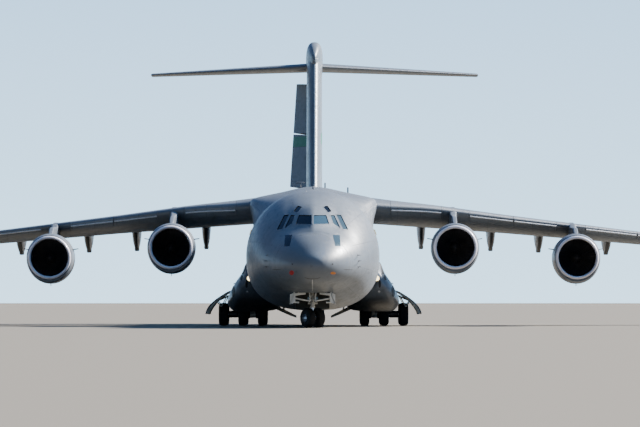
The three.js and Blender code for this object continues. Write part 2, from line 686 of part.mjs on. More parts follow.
function finPoint(z) {
  const row = finRow(z);
  return vec(0, row.y + RUDDER.at * row.chord, z);
}

// The streamlined body on top of the fin, through which the tailplane passes.
function finCap() {
  const sides = 16;
  const shares = [[0, 0.12], [0.05, 0.45], [0.14, 0.78], [0.32, 1], [0.74, 0.97], [1, 0.16]];
  const rings = shares.map(([t, size]) => {
    const y = CAP.front + (CAP.back - CAP.front) * t;
    return Array.from({ length: sides }, (_, i) => {
      const angle = (2 * Math.PI * i) / sides;
      return vec(CAP.halfWidth * size * Math.cos(angle), y, CAP.mid + CAP.halfHeight * size * Math.sin(angle));
    });
  });
  return loft(rings);
}

function tailSet() {
  let fin = cut(surface([finRow(FIN.lowZ), finRow(FIN.highZ)]), HULL_CLEAR);
  const low = finPoint(RUDDER.bottom);
  const split = finPoint(RUDDER.split);
  const high = finPoint(RUDDER.top);
  const along = high.clone().sub(low).normalize();
  const aft = vec(0, along.z, -along.y);
  const radius = (z) => finRow(z).thickness * halfThickness(RUDDER.at);
  const turn = (body, point) => {
    const matrix = new THREE.Matrix4()
      .makeTranslation(point.x, point.y, point.z)
      .multiply(new THREE.Matrix4().makeRotationAxis(along, RUDDER_REST))
      .multiply(new THREE.Matrix4().makeTranslation(-point.x, -point.y, -point.z));
    return placed(body, matrix);
  };
  const [lowRadius, splitRadius, highRadius] = [RUDDER.bottom, RUDDER.split, RUDDER.top].map(radius);
  const start = finPoint(RUDDER.split + RUDDER.splitGap);
  const down = Z_AXIS.clone().negate();
  const halfGap = RUDDER.splitGap / 2;
  const lower = splitAtHinge(fin, low, split, lowRadius, splitRadius, aft, [down, Z_AXIS], [RUDDER.endGap, halfGap]);
  const upper = splitAtHinge(fin, start, high, splitRadius, highRadius, aft, [down, Z_AXIS], [halfGap, RUDDER.endGap]);
  const notchMiddle = finPoint(RUDDER.split + halfGap);
  const notchEnds = [-1, 1].map((side) => notchMiddle.clone().addScaledVector(along, side * RUDDER_NOTCH.reach));
  const notch = bar(...notchEnds, RUDDER_NOTCH.radius, RUDDER_NOTCH.radius, 24);
  fin = join(common(lower.fixed, upper.fixed), finCap());
  const lowerPair = { moving: cut(lower.moving, notch), fixed: fin };
  addPin(lowerPair, low, along.clone().negate(), RUDDER.pin, RUDDER.endGap);
  const upperPair = { moving: cut(upper.moving, notch), fixed: lowerPair.fixed };
  addPin(upperPair, high, along, RUDDER.pin, RUDDER.endGap);

  const elevators = {};
  let tailplane = tailSurface();
  const slot = common(tailSurface(SEAM), box(-FAR, FAR, 0, tailPoint(0).y + SEAM, 0, FAR));
  let capped = cut(upperPair.fixed, slot);
  for (const [name, side] of [["left", 1], ["right", -1]]) {
    const [a, b] = [side * ELEVATOR.inner, side * (TAIL.tip + 0.2)].map(tailPoint);
    const outward = b.clone().sub(a).normalize();
    const back = vec(-side * outward.y, Math.abs(outward.x), 0).normalize();
    const r = (x) => tailplaneRow(x).thickness * halfThickness(ELEVATOR.at);
    const ends = [vec(-side, 0, 0), vec(side, 0, 0)];
    const halves = splitAtHinge(tailplane, a, b, r(ELEVATOR.inner), r(TAIL.tip), back, ends);
    tailplane = halves.fixed;
    const pair = { moving: halves.moving, fixed: capped };
    addPin(pair, a, outward.clone().negate(), ELEVATOR.pin, ELEVATOR.pinReach);
    elevators[name] = pair.moving;
    capped = pair.fixed;
  }
  const clearance = tailCentreCut();
  tailplane = cut(tailplane, clearance);
  return {
    fin: capped,
    rudder_lower: turn(lowerPair.moving, low),
    rudder_upper: turn(upperPair.moving, low),
    tailplane,
    elevators,
  };
}

// The tailplane's middle ends at the hinge line, inside the fin cap.
function tailCentreCut() {
  const half = ELEVATOR.inner;
  const y = tailPoint(0).y;
  return box(-half, half, y, FAR, 14, 17);
}

// Engines

// The cowl's wall, or its outer form filled in and grown all round.
function cowl(grow = 0, filled = false) {
  const profile = COWL.map(([y, radius]) => new THREE.Vector2(radius + grow, y));
  if (filled) {
    const back = COWL[COWL_OUTER - 1][0];
    profile.splice(COWL_OUTER, profile.length, new THREE.Vector2(0, back));
    profile.unshift(new THREE.Vector2(0, 0));
  } else {
    profile.push(profile[0].clone());
  }
  const geometry = new THREE.LatheGeometry(profile, COWL_SIDES);
  const position = geometry.attributes.position;
  for (let i = 0; i < position.count; i++) {
    const [x, y, z] = [position.getX(i), position.getY(i), position.getZ(i)];
    const deep = Math.hypot(x, z) > 1.17 && z < 0;
    if (deep) position.setZ(i, z * COWL_DROP);
  }
  return solid(geometry);
}

function fan() {
  const hub = turnedAlongY(
    [[0, FAN.front - 0.35], [0.16, FAN.front - 0.2], [FAN.hub, FAN.front + 0.1], [FAN.hub, FAN.back], [0, FAN.back]],
    10,
  );
  const blade = new THREE.BoxGeometry(FAN.thick, FAN.chord, FAN.tip - FAN.hub + 0.06);
  blade.rotateZ(THREE.MathUtils.degToRad(48)).translate(0, (FAN.front + FAN.back) / 2 + 0.02, (FAN.tip + FAN.hub) / 2 - 0.03);
  const blades = [];
  for (let i = 0; i < FAN.blades; i++) {
    blades.push(solid(blade.clone().rotateY((2 * Math.PI * i) / FAN.blades)));
  }
  const shaft = SHAFT.radius + BEARING;
  const bore = bar(vec(0, FAN.back - SHAFT.length - GAP, 0), vec(0, FAN.back + 1, 0), shaft, shaft, BAR_SIDES, true);
  return cut(join(hub, ...blades), bore);
}

function engineCore() {
  const body = turnedAlongY(CORE.map(([radius, y]) => [radius, y + (y < 2 ? GAP : 0)]), 12);
  const shaft = bar(vec(0, FAN.back - SHAFT.length, 0), vec(0, FAN.back + 0.3, 0), SHAFT.radius, SHAFT.radius);
  const { count, front, back, thick } = VANES;
  const reach = VANE_WALL - (thick / 2) * Math.tan(Math.PI / COWL_SIDES) - SEAM;
  const vanes = [];
  for (let i = 0; i < count; i++) {
    const vane = new THREE.BoxGeometry(thick, back - front, reach - 0.4);
    vane.translate(0, (front + back) / 2, (reach + 0.4) / 2);
    vanes.push(solid(vane.rotateY((2 * Math.PI * i) / count)));
  }
  return join(body, shaft, ...vanes);
}

// A pylon runs from the cowl's top back under the wing, and laps over the wing's leading edge.
function pylon({ x, lip, z }) {
  const wing = wingRow(x);
  const nose = wing.y;
  const mid = wing.z;
  const half = wing.thickness / 2;
  const outline = [
    [lip + 1.0, z + 1.1],
    [lip + 1.3, z + 1.3],
    [lip + 2.6, z + 1.62],
    [nose - 0.6, mid + 0.12],
    [nose + 0.1, mid + 0.32],
    [nose + 1.3, mid + half + 0.07],
    [nose + 2.2, mid + half + 0.06],
    [nose + 2.2, mid],
    [nose + 4.4, mid],
    [nose + 4.4, mid - half + 0.02],
    [nose + 2.4, mid - half - 0.2],
    [nose + 0.6, z + 0.9],
    [lip + 4.1, z + 0.95],
    [lip + 3.5, z + 1.0],
  ];
  const body = sidePrism(outline, x - PYLON_HALF, x + PYLON_HALF);
  const matrix = new THREE.Matrix4().makeTranslation(x, lip, z);
  return cut(body, surface(WING_ROWS, SEAM), placed(cowl(SEAM, true), matrix));
}

// Gear

function tyreSolid({ radius, width, rim, dish }, x) {
  const half = width / 2;
  const profile = [
    [0, -dish],
    [rim, -dish],
    [radius * 0.72, -half],
    [radius, -half * 0.7],
    [radius, half * 0.7],
    [radius * 0.72, half],
    [rim, dish],
    [0, dish],
  ].map(([r, t]) => new THREE.Vector2(r, t));
  const geometry = new THREE.LatheGeometry(profile, TYRE_SIDES);
  geometry.rotateY(Math.PI / TYRE_SIDES).rotateZ(-Math.PI / 2);
  return solid(geometry.translate(x, 0, 0));
}

const rollingHeight = ({ radius }) => radius * Math.cos(Math.PI / TYRE_SIDES);

// Three tyres on one axle, about the axle's own place.
function mainWheels() {
  const tyres = MAIN_TYRES_X.map((x) => tyreSolid(MAIN_TYRE, x));
  const axle = bar(vec(MAIN_TYRES_X[0], 0, 0), vec(MAIN_TYRES_X[2], 0, 0), MAIN_POST.axle, MAIN_POST.axle);
  return join(axle, ...tyres);
}

function mainLeg() {
  const { x, radius, axle, hub, hubHalf } = MAIN_POST;
  const z = rollingHeight(MAIN_TYRE);
  const post = bar(vec(x, 0, z), vec(x, 0, WELL.roof), radius * 0.7, radius);
  const barrel = bar(vec(x - hubHalf, 0, z), vec(x + hubHalf, 0, z), hub, hub);
  const bore = bar(vec(x - 1, 0, z), vec(x + 1, 0, z), axle + BEARING, axle + BEARING, BAR_SIDES, true);
  return cut(join(post, barrel), bore);
}

function noseWheels() {
  const half = NOSE_GEAR.spacing / 2;
  const axle = bar(vec(-half, 0, 0), vec(half, 0, 0), NOSE_GEAR.axle, NOSE_GEAR.axle);
  return join(axle, tyreSolid(NOSE_TYRE, -half), tyreSolid(NOSE_TYRE, half));
}

// The steered lower part of the nose gear, about the leg's line.
function noseFork() {
  const z = rollingHeight(NOSE_TYRE);
  const top = NOSE_LEG.low + NOSE_LEG.socket;
  const post = bar(vec(0, 0, z), vec(0, 0, top), NOSE_GEAR.post, NOSE_GEAR.post, STEERED_SIDES);
  const hub = bar(vec(-0.08, 0, z), vec(0.08, 0, z), 0.11);
  const bore = bar(vec(-1, 0, z), vec(1, 0, z), NOSE_GEAR.axle + BEARING, NOSE_GEAR.axle + BEARING, BAR_SIDES, true);
  return cut(join(post, hub), bore);
}

function noseLeg() {
  const { radius, low, socket } = NOSE_LEG;
  const tube = bar(vec(0, 0, low), vec(0, 0, NOSE_BAY.roof - SEAM), radius);
  const inner = NOSE_GEAR.post + BEARING;
  const bore = bar(vec(0, 0, low - 1), vec(0, 0, low + socket + GAP), inner, inner, STEERED_SIDES, true);
  return cut(tube, bore);
}

// The nose gear's doors hang beside the front of the bay, each stiffened by a deep frame across its front end.
function noseDoor() {
  const hinge = NOSE_BAY.halfWidth + 0.03;
  const plate = frontPrism([[hinge, 2.2], [hinge, 1.7], [1.1, 1.18], [1.17, 1.2], [0.96, 1.72], [0.96, 2.2]], 3.45, 4.9);
  const frame = frontPrism([[hinge, 2.2], [hinge, 1.36], [0.97, 1.24], [1.12, 1.19], [0.94, 1.72], [0.94, 2.2]], 3.45, 3.57);
  return cut(join(plate, frame), HULL_CLEAR);
}

function podShell() {
  const rings = POD_FRAMES.map(([y, share]) =>
    POD_OUTLINE.map(([x, z]) =>
      vec(POD_CENTRE[0] + (x - POD_CENTRE[0]) * share, y, POD_CENTRE[1] + (z - POD_CENTRE[1]) * share),
    ),
  );
  return loft(rings);
}

function pod() {
  const { front, back, inner, roof } = WELL;
  const body = cut(podShell(), HULL_CLEAR, box(inner, FAR, front, back, -1, roof + SEAM));
  const largest = body.decompose().sort((a, b) => b.volume() - a.volume());
  return largest[0];
}

const OUTER_DOOR = [
  [4.34, WELL.roof],
  [4.48, WELL.roof],
  [4.64, 1.88],
  [5.33, 1.47],
  [5.73, 1.09],
  [5.93, 0.66],
  [5.82, 0.62],
  [5.62, 1.0],
  [5.25, 1.36],
  [4.56, 1.79],
];
const INNER_DOOR = [
  [2.22, 1.2],
  [0.98, 0.53],
  [0.95, 0.45],
  [2.3, 1.0],
];

function mainDoors() {
  const outer = frontPrism(OUTER_DOOR, WELL.front + 0.1, WELL.back - 0.1);
  const inner = cut(frontPrism(INNER_DOOR, WELL.front + 0.2, WELL.back - 0.2), HULL_CLEAR);
  return { outer, inner };
}

// Materials

const MATERIALS = {
  paint: new THREE.MeshStandardMaterial({ color: 0x8f9599, roughness: 0.45, metalness: 0.0 }),
  radomePaint: new THREE.MeshStandardMaterial({ color: 0x7f858a, roughness: 0.5, metalness: 0.0 }),
  bareMetal: new THREE.MeshStandardMaterial({ color: 0xb9bac4, roughness: 0.3, metalness: 0.9 }),
  hotMetal: new THREE.MeshStandardMaterial({ color: 0x4a4541, roughness: 0.45, metalness: 0.8 }),
  gearPaint: new THREE.MeshStandardMaterial({ color: 0xe4e4de, roughness: 0.4, metalness: 0.0 }),
  rubber: new THREE.MeshStandardMaterial({ color: 0x17181a, roughness: 0.85, metalness: 0.0 }),
  glass: new THREE.MeshStandardMaterial({ color: 0x26384a, roughness: 0.08, metalness: 0.0 }),
  fanMetal: new THREE.MeshStandardMaterial({ color: 0x2b2c30, roughness: 0.4, metalness: 0.7 }),
};

function named(name, body, material) {
  const mesh = new THREE.Mesh(geometryOf(body), MATERIALS[material]);
  mesh.name = name;
  return mesh;
}

// Assembly

// A group for the pieces of one side: the right side is the left one mirrored.
function sideGroup(side) {
  const group = new THREE.Group();
  group.scale.x = side === "left" ? 1 : -1;
  return group;
}

const front = frontSet();
const aircraft = new THREE.Group();
aircraft.add(
  named("radome", radome(), "radomePaint"),
  named("forward_fuselage", front.fixed, "paint"),
  named("centre_fuselage", centreFuselage(), "paint"),
  named("aft_fuselage", aftFuselage(), "paint"),
  named("cockpit_glass", cockpitGlass(), "glass"),
  named("crew_door", front.moving, "paint"),
  named("cargo_ramp", ramp(), "paint"),
  named("cargo_door", cargoDoor(), "paint"),
  named("wing_fairing", wingFairing(), "paint"),
);

const tail = tailSet();
aircraft.add(
  named("fin", tail.fin, "paint"),
  named("rudder_lower", tail.rudder_lower, "paint"),
  named("rudder_upper", tail.rudder_upper, "paint"),
  named("tailplane", tail.tailplane, "paint"),
  named("elevator_left", tail.elevators.left, "paint"),
  named("elevator_right", tail.elevators.right, "paint"),
);

const wing = wingSet();
const pieces = { pod: pod(), winglet: winglet(), cowl: cowl(), core: engineCore(), fan: fan() };
const doors = mainDoors();
const leg = mainLeg();
const wheels = mainWheels();
for (const side of ["left", "right"]) {
  const group = sideGroup(side);
  group.add(
    named("wing_" + side, wing.wing, "paint"),
    named("winglet_" + side, pieces.winglet, "paint"),
    named("flap_inboard_" + side, wing.flap_inboard, "paint"),
    named("flap_outboard_" + side, wing.flap_outboard, "paint"),
    named("aileron_" + side, wing.aileron, "paint"),
    named("pod_" + side, pieces.pod, "paint"),
    named("main_door_outer_" + side, doors.outer, "paint"),
    named("main_door_inner_" + side, doors.inner, "paint"),
    named("nose_door_" + side, noseDoor(), "gearPaint"),
  );
  for (const engine of ENGINES) {
    const unit = new THREE.Group();
    unit.position.set(engine.x, engine.lip, engine.z);
    unit.add(
      named(`nacelle_${engine.name}_${side}`, pieces.cowl, "paint"),
      named(`engine_${engine.name}_${side}`, pieces.core, "hotMetal"),
      named(`fan_${engine.name}_${side}`, pieces.fan, "fanMetal"),
    );
    group.add(unit, named(`pylon_${engine.name}_${side}`, pylon(engine), "paint"));
  }
  for (const [place, y] of Object.entries(MAIN_AXLES)) {
    const legMesh = named(`main_leg_${place}_${side}`, leg, "gearPaint");
    const wheelMesh = named(`main_wheels_${place}_${side}`, wheels, "rubber");
    legMesh.position.y = y;
    wheelMesh.position.set(0, y, rollingHeight(MAIN_TYRE));
    group.add(legMesh, wheelMesh);
  }
  aircraft.add(group);
}

const noseLegMesh = named("nose_leg", noseLeg(), "gearPaint");
noseLegMesh.position.y = NOSE_GEAR.y;
const steered = new THREE.Group();
steered.position.y = NOSE_GEAR.y;
steered.rotation.z = NOSE_GEAR.steer;
const noseWheelMesh = named("nose_wheels", noseWheels(), "rubber");
noseWheelMesh.position.z = rollingHeight(NOSE_TYRE);
steered.add(named("nose_fork", noseFork(), "gearPaint"), noseWheelMesh);
aircraft.add(noseLegMesh, steered);
aircraft.position.y = -LENGTH / 2;

const model = new THREE.Group();
model.add(aircraft);
model.scale.setScalar(MM_PER_METRE);

export default model;
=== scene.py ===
import bisect
from functools import lru_cache
from math import copysign, cos, hypot, pi, radians, sin, sqrt, tan

import bmesh
import bpy
from mathutils import Matrix, Vector


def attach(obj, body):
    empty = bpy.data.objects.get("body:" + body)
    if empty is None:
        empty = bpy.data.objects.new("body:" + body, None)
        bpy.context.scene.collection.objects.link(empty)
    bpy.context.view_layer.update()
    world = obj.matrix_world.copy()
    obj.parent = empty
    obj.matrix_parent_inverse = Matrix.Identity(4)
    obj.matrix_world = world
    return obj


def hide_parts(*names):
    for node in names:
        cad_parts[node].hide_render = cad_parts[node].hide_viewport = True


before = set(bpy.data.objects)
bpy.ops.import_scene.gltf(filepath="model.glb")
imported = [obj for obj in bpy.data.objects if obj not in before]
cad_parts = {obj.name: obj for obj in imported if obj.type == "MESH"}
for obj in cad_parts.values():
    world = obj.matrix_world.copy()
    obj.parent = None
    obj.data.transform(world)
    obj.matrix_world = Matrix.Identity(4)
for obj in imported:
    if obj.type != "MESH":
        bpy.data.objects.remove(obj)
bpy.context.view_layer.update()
print("frame loaded:", len(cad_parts), "nodes")

aircraft = {"length": 53.04, "scale": 0.5, "weld": 1e-5, "gap": 0.03}
sides = ("left", "right")
rounding = {"segments": 2, "profile": 0.5, "affect": "EDGES", "material": -1}
xAxis, yAxis, zAxis = Vector((1, 0, 0)), Vector((0, 1, 0)), Vector((0, 0, 1))
zero = (0, 0, 0)


# Places and lengths are the real aircraft's metres: x to its left side, y aft from the nose tip, z up.
def at(x, y, z):
    return Vector((x, y - aircraft["length"] / 2, z)) * aircraft["scale"]


def size(length):
    return length * aircraft["scale"]


def smoothTable(rows, spread=lambda y: y):
    # a smooth curve without overshoot through each column of a table, over its first column
    knots = [spread(row[0]) for row in rows]
    columns = list(zip(*rows))[1:]
    slopes = []
    for values in columns:
        slants = [(values[i + 1] - values[i]) / (knots[i + 1] - knots[i]) for i in range(len(knots) - 1)]
        inner = [0 if a * b <= 0 else 2 * a * b / (a + b) for a, b in zip(slants, slants[1:])]
        slopes.append([slants[0], *inner, slants[-1]])

    @lru_cache(maxsize=None)
    def look(y):
        t = min(max(spread(y), knots[0]), knots[-1])
        i = max(0, min(len(knots) - 2, bisect.bisect_right(knots, t) - 1))
        reach = knots[i + 1] - knots[i]
        s = (t - knots[i]) / reach
        ease = s * s * (3 - 2 * s)
        found = []
        for values, slope in zip(columns, slopes):
            bend = slope[i] * s * (1 - s) ** 2 - slope[i + 1] * s * s * (1 - s)
            found.append(values[i] + (values[i + 1] - values[i]) * ease + reach * bend)
        return found

    return look


def easeStep(value, low, high):
    t = min(max((value - low) / (high - low), 0), 1)
    return t * t * (3 - 2 * t)


# Mesh helpers
def tidied(bm):
    bmesh.ops.remove_doubles(bm, verts=bm.verts, dist=aircraft["weld"])
    rims = [edge for edge in bm.edges if edge.is_boundary]
    if rims:
        bmesh.ops.holes_fill(bm, edges=rims, sides=0)
    bmesh.ops.recalc_face_normals(bm, faces=bm.faces)
    return bm


def tube(around, along, place):
    # a closed surface laid over a grid: place(u, v) gives the real x, y, z
    bm = bmesh.new()
    made = bmesh.ops.create_grid(bm, x_segments=around, y_segments=along, size=0.5)["verts"]
    for vert in made:
        vert.co = at(*place(vert.co.x + 0.5, vert.co.y + 0.5))
    return tidied(bm)


def gather(*parts):
    whole = bmesh.new()
    for part in parts:
        mesh = bpy.data.meshes.new("part")
        part.to_mesh(mesh)
        part.free()
        whole.from_mesh(mesh)
        bpy.data.meshes.remove(mesh)
    return whole


def boxMesh(x0, x1, y0, y1, z0, z1):
    return turnedBox(zero, (xAxis, yAxis, zAxis), (x0, y0, z0), (x1, y1, z1))


def turnedBox(origin, axes, low, high, soft=0):
    # a box along three axes of its own, from low to high about its origin
    bm = bmesh.new()
    low, high = Vector(low) * aircraft["scale"], Vector(high) * aircraft["scale"]
    basis = Matrix([axis.normalized() for axis in axes]).transposed().to_4x4()
    place = Matrix.Translation(at(*origin)) @ basis @ Matrix.Translation((low + high) / 2)
    bmesh.ops.create_cube(bm, size=1, matrix=place @ Matrix.Diagonal((*(high - low), 1)))
    if soft:
        bmesh.ops.bevel(bm, geom=bm.edges[:], offset=size(soft), **rounding)
    bmesh.ops.recalc_face_normals(bm, faces=bm.faces)
    return bm


def bar(a, b, radius, endRadius=None, turns=20, soft=0):
    bm = bmesh.new()
    start, end = at(*a), at(*b)
    turn = (end - start).to_track_quat("Z", "Y").to_matrix().to_4x4()
    bmesh.ops.create_cone(
        bm,
        cap_ends=True,
        segments=turns,
        radius1=size(radius),
        radius2=size(radius if endRadius is None else endRadius),
        depth=(end - start).length,
        matrix=Matrix.Translation((start + end) / 2) @ turn,
    )
    if soft:
        rims = [edge for edge in bm.edges if any(len(face.verts) > 4 for face in edge.link_faces)]
        bmesh.ops.bevel(bm, geom=rims, offset=size(soft), **rounding)
    return bm


def prism(corners, reach, soft=0, segments=3):
    # an outline of real points, drawn out along reach; soft rounds its long edges
    bm = bmesh.new()
    face = bm.faces.new([bm.verts.new(at(*corner)) for corner in corners])
    grown = bmesh.ops.extrude_face_region(bm, geom=[face])["geom"]
    moved = [item for item in grown if isinstance(item, bmesh.types.BMVert)]
    shift = Vector(reach) * aircraft["scale"]
    bmesh.ops.translate(bm, verts=moved, vec=shift)
    if soft:
        along = shift.normalized()
        longEdges = [
            edge
            for edge in bm.edges
            if abs((edge.verts[0].co - edge.verts[1].co).normalized().dot(along)) > 0.99
        ]
        bmesh.ops.bevel(bm, geom=longEdges, offset=size(soft), **{**rounding, "segments": segments})
    bmesh.ops.recalc_face_normals(bm, faces=bm.faces)
    return bm


def turned(profile, centre, axis, turns, loop=False):
    # a profile of pairs, distance along the axis and radius, spun about the axis
    bm = bmesh.new()
    middle, axis = at(*centre), Vector(axis).normalized()
    side = axis.orthogonal().normalized()
    points = [middle + (axis * along + side * radius) * aircraft["scale"] for along, radius in profile]
    verts = [bm.verts.new(point) for point in points]
    pairs = list(zip(verts, verts[1:])) + ([(verts[-1], verts[0])] if loop else [])
    edges = [bm.edges.new(pair) for pair in pairs]
    spun = {"cent": middle, "axis": axis, "angle": 2 * pi, "steps": turns}
    bmesh.ops.spin(bm, geom=verts + edges, use_merge=True, **spun)
    return tidied(bm)


def mirrored(bm):
    flipped = bm.copy()
    bmesh.ops.scale(flipped, vec=(-1, 1, 1), verts=flipped.verts)
    bmesh.ops.reverse_faces(flipped, faces=flipped.faces)
    return flipped


def loose(bm, name="tool"):
    mesh = bpy.data.meshes.new(name)
    bm.to_mesh(mesh)
    obj = bpy.data.objects.new(name, mesh)
    bpy.context.scene.collection.objects.link(obj)
    return obj


def shaped(bm, cutters, operation="DIFFERENCE"):
    # the mesh with each cutter taken off, kept or added
    body = loose(bm, "body")
    tools = [loose(cutter) for cutter in cutters]
    for tool in tools:
        modifier = body.modifiers.new("shape", "BOOLEAN")
        modifier.operation = operation
        modifier.solver = "MANIFOLD"
        modifier.object = tool
    result = bmesh.new()
    result.from_object(body, bpy.context.evaluated_depsgraph_get())
    for obj in (body, *tools):
        mesh = obj.data
        bpy.data.objects.remove(obj)
        bpy.data.meshes.remove(mesh)
    return result


def recolour(bm, index, test):
    # faces that pass a test on their centre, in real metres, take another finish
    for face in bm.faces:
        centre = face.calc_center_median() / aircraft["scale"]
        if test(centre.x, centre.y + aircraft["length"] / 2, centre.z):
            face.material_index = index


def painted(bm, index):
    for face in bm.faces:
        face.material_index = index
    return bm


def piece(name, bm, coats, body="airframe", slot="airframe_paint", stands=(), sharp=32):
    # a finished piece; faces with material index n take the name at n in coats
    mesh = bpy.data.meshes.new(name)
    bm.to_mesh(mesh)
    bm.free()
    for coat in coats if isinstance(coats, list) else [coats]:
        mesh.materials.append(finishes[coat])
    mesh.shade_smooth()
    mesh.set_sharp_from_angle(angle=radians(sharp))
    obj = bpy.data.objects.new(name, mesh)
    bpy.context.scene.collection.objects.link(obj)
    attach(obj, body)
    if stands:
        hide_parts(*stands)
    return obj


def bothSides(name, bm, coats, body="airframe", slot="airframe_paint", stands=(), sharp=32):
    # the left piece and its mirror image; names and bodies with a % take the side
    right = mirrored(bm)
    for side, shape in zip(sides, (bm, right)):
        nodes = [node.replace("%", side) for node in stands]
        piece(name + "_" + side, shape, coats, body.replace("%", side), slot, nodes, sharp)


# Finishes


class Value:
    # a socket of a shader node, with arithmetic
    def __init__(self, finish, socket):
        self.finish = finish
        self.socket = socket

    def maths(self, operation, *others):
        return self.finish.node("ShaderNodeMath", {"operation": operation}, [self, *others])

    def __add__(self, other):
        return self.maths("ADD", other)

    def __sub__(self, other):
        return self.maths("SUBTRACT", other)

    def __rsub__(self, other):
        return self.finish.node("ShaderNodeMath", {"operation": "SUBTRACT"}, [other, self])

    def __mul__(self, other):
        return self.maths("MULTIPLY", other)

    def __abs__(self):
        return self.maths("ABSOLUTE")


class Finish:
    def __init__(self, name, **fixed):
        self.material = bpy.data.materials.new(name)
        self.material.use_nodes = True
        self.tree = self.material.node_tree
        self.shader = self.tree.nodes["Principled BSDF"]
        for socket, value in fixed.items():
            self.shader.inputs[socket.replace("_", " ")].default_value = value

    def node(self, kind, settings, inputs, out=0):
        made = self.tree.nodes.new(kind)
        for setting, value in settings.items():
            setattr(made, setting, value)
        pairs = inputs.items() if isinstance(inputs, dict) else enumerate(inputs)
        for socket, value in pairs:
            if isinstance(value, Value):
                self.tree.links.new(value.socket, made.inputs[socket])
            else:
                made.inputs[socket].default_value = value
        return Value(self, made.outputs[out])

    def place(self, stretch=(1, 1, 1)):
        coords = self.node("ShaderNodeTexCoord", {}, {}, "Object")
        return self.node("ShaderNodeMapping", {}, {"Vector": coords, "Scale": stretch})

    def axes(self, vector):
        node = self.node("ShaderNodeSeparateXYZ", {}, {0: vector}).socket.node
        return [Value(self, output) for output in node.outputs]

    def noise(self, vector, scale, detail=3, roughness=0.55):
        settings = {"Vector": vector, "Scale": scale, "Detail": detail, "Roughness": roughness}
        return self.node("ShaderNodeTexNoise", {}, settings)

    def ramp(self, value, low, high, fromValue=0.0, toValue=1.0):
        bounds = [value, low, high, fromValue, toValue]
        return self.node("ShaderNodeMapRange", {"interpolation_type": "SMOOTHSTEP"}, bounds)

    def between(self, value, low, high, soft):
        # one between low and high, nothing outside
        rise = self.ramp(value, low - soft, low + soft)
        return rise * self.ramp(value, high - soft, high + soft, 1.0, 0.0)

    def lines(self, value, period, width, shift=0.0):
        # one on thin lines, a period apart
        away = (value + shift).maths("PINGPONG", period / 2)
        return self.ramp(away, width * 0.5, width, 1.0, 0.0)

    def most(self, *values):
        found = values[0]
        for value in values[1:]:
            found = found.maths("MAXIMUM", value)
        return found

    def mix(self, factor, first, second):
        first, second = (tone if isinstance(tone, Value) else (*tone, 1) for tone in (first, second))
        sockets = {0: factor, 6: first, 7: second}  # the node's sockets for colours
        return self.node("ShaderNodeMix", {"data_type": "RGBA"}, sockets, 2)

    def link(self, socket, value):
        self.tree.links.new(value.socket, self.shader.inputs[socket])

    def done(self, colour, roughness=None, height=None, distance=0.002):
        self.link("Base Color", colour)
        if roughness is not None:
            self.link("Roughness", roughness)
        if height is not None:
            self.link("Normal", self.node("ShaderNodeBump", {}, {"Height": height, "Distance": distance}))
        return self.material


greys = {
    "paint": (0.12, 0.14, 0.165),
    "paintDark": (0.09, 0.105, 0.125),
    "lightPaintAndReflection": (0.158, 0.18, 0.205),
    "grime": (0.04, 0.036, 0.032),
    "seam": (0.022, 0.025, 0.029),
}


def weathered(finish, seams, base="paint"):
    # satin paint with soft patches, streaks along the airflow and darker seams, and painted shade that
    # darkens it low down, towards the underside
    vector = finish.place()
    height = finish.axes(vector)[2]
    patches = finish.noise(vector, 0.55, 4)
    fine = finish.noise(vector, 9, 4, 0.6)
    streaks = finish.noise(finish.place((5, 0.35, 5)), 1.4, 4)
    tone = finish.mix(finish.ramp(patches, 0.35, 0.68), greys["paintDark"], greys["lightPaintAndReflection"])
    colour = finish.mix(0.62, tone, greys[base])
    worn = finish.ramp(streaks, 0.56, 0.78) * 0.3 + finish.ramp(fine, 0.55, 0.8) * 0.12
    colour = finish.mix(worn, colour, greys["grime"])
    # painted shade: darker low down, towards the underside, broken up by the streaks
    paintedBellyShade = finish.ramp(height, 0.45, 1.5, 0.34, 0.0) * finish.ramp(streaks, 0.35, 0.65)
    colour = finish.mix(paintedBellyShade, colour, greys["grime"])
    colour = finish.mix(seams * 0.62, colour, greys["seam"])
    roughness = finish.ramp(fine, 0.2, 0.8, 0.33, 0.5) + worn * 0.3
    return colour, roughness, seams * -1.0 + finish.noise(vector, 0.9, 2) * 0.5


def skinPaint(name, paintedShade=0.0):
    finish = Finish(name, Coat_Weight=0.12, Coat_Roughness=0.25)
    x, y, z = finish.axes(finish.place())
    around = abs(x).maths("ARCTAN2", z - 1.83) * 1.715
    frames = finish.lines(y, 1.1, 0.0045, 0.37)
    stringers = finish.lines(around, 0.83, 0.0045, 0.2) * finish.ramp(y, -12.3, -12.0)
    doublers = finish.lines(y, 4.4, 0.011, 0.37)
    rivets = finish.lines(y, 1.1, 0.03, 0.37) * finish.lines(around, 0.035, 0.005) * 0.35
    seams = finish.most(frames, stringers, doublers, rivets)
    colour, roughness, height = weathered(finish, seams)
    if paintedShade:
        # painted shade: the pods are darker underneath, round the wheels
        colour = finish.mix(finish.ramp(z, 0.6, 0.92, paintedShade, 0.0), colour, greys["seam"])
    return finish.done(colour, roughness, height)


def wingPaint(name, sweep, period, base="paint"):
    # seams follow the swept spars, and ribs cross them
    finish = Finish(name, Coat_Weight=0.12, Coat_Roughness=0.25)
    x, y, _ = finish.axes(finish.place())
    along = abs(x) * -tan(radians(sweep)) + y
    spars = finish.lines(along, 0.92, 0.0045, 0.11)
    ribs = finish.lines(abs(x), period, 0.0045, 0.21)
    rivets = finish.lines(abs(x), period, 0.028, 0.21) * finish.lines(along, 0.035, 0.005) * 0.3
    seams = finish.most(spars, ribs, rivets)
    colour, roughness, height = weathered(finish, seams, base)
    return finish.done(colour, roughness, height)


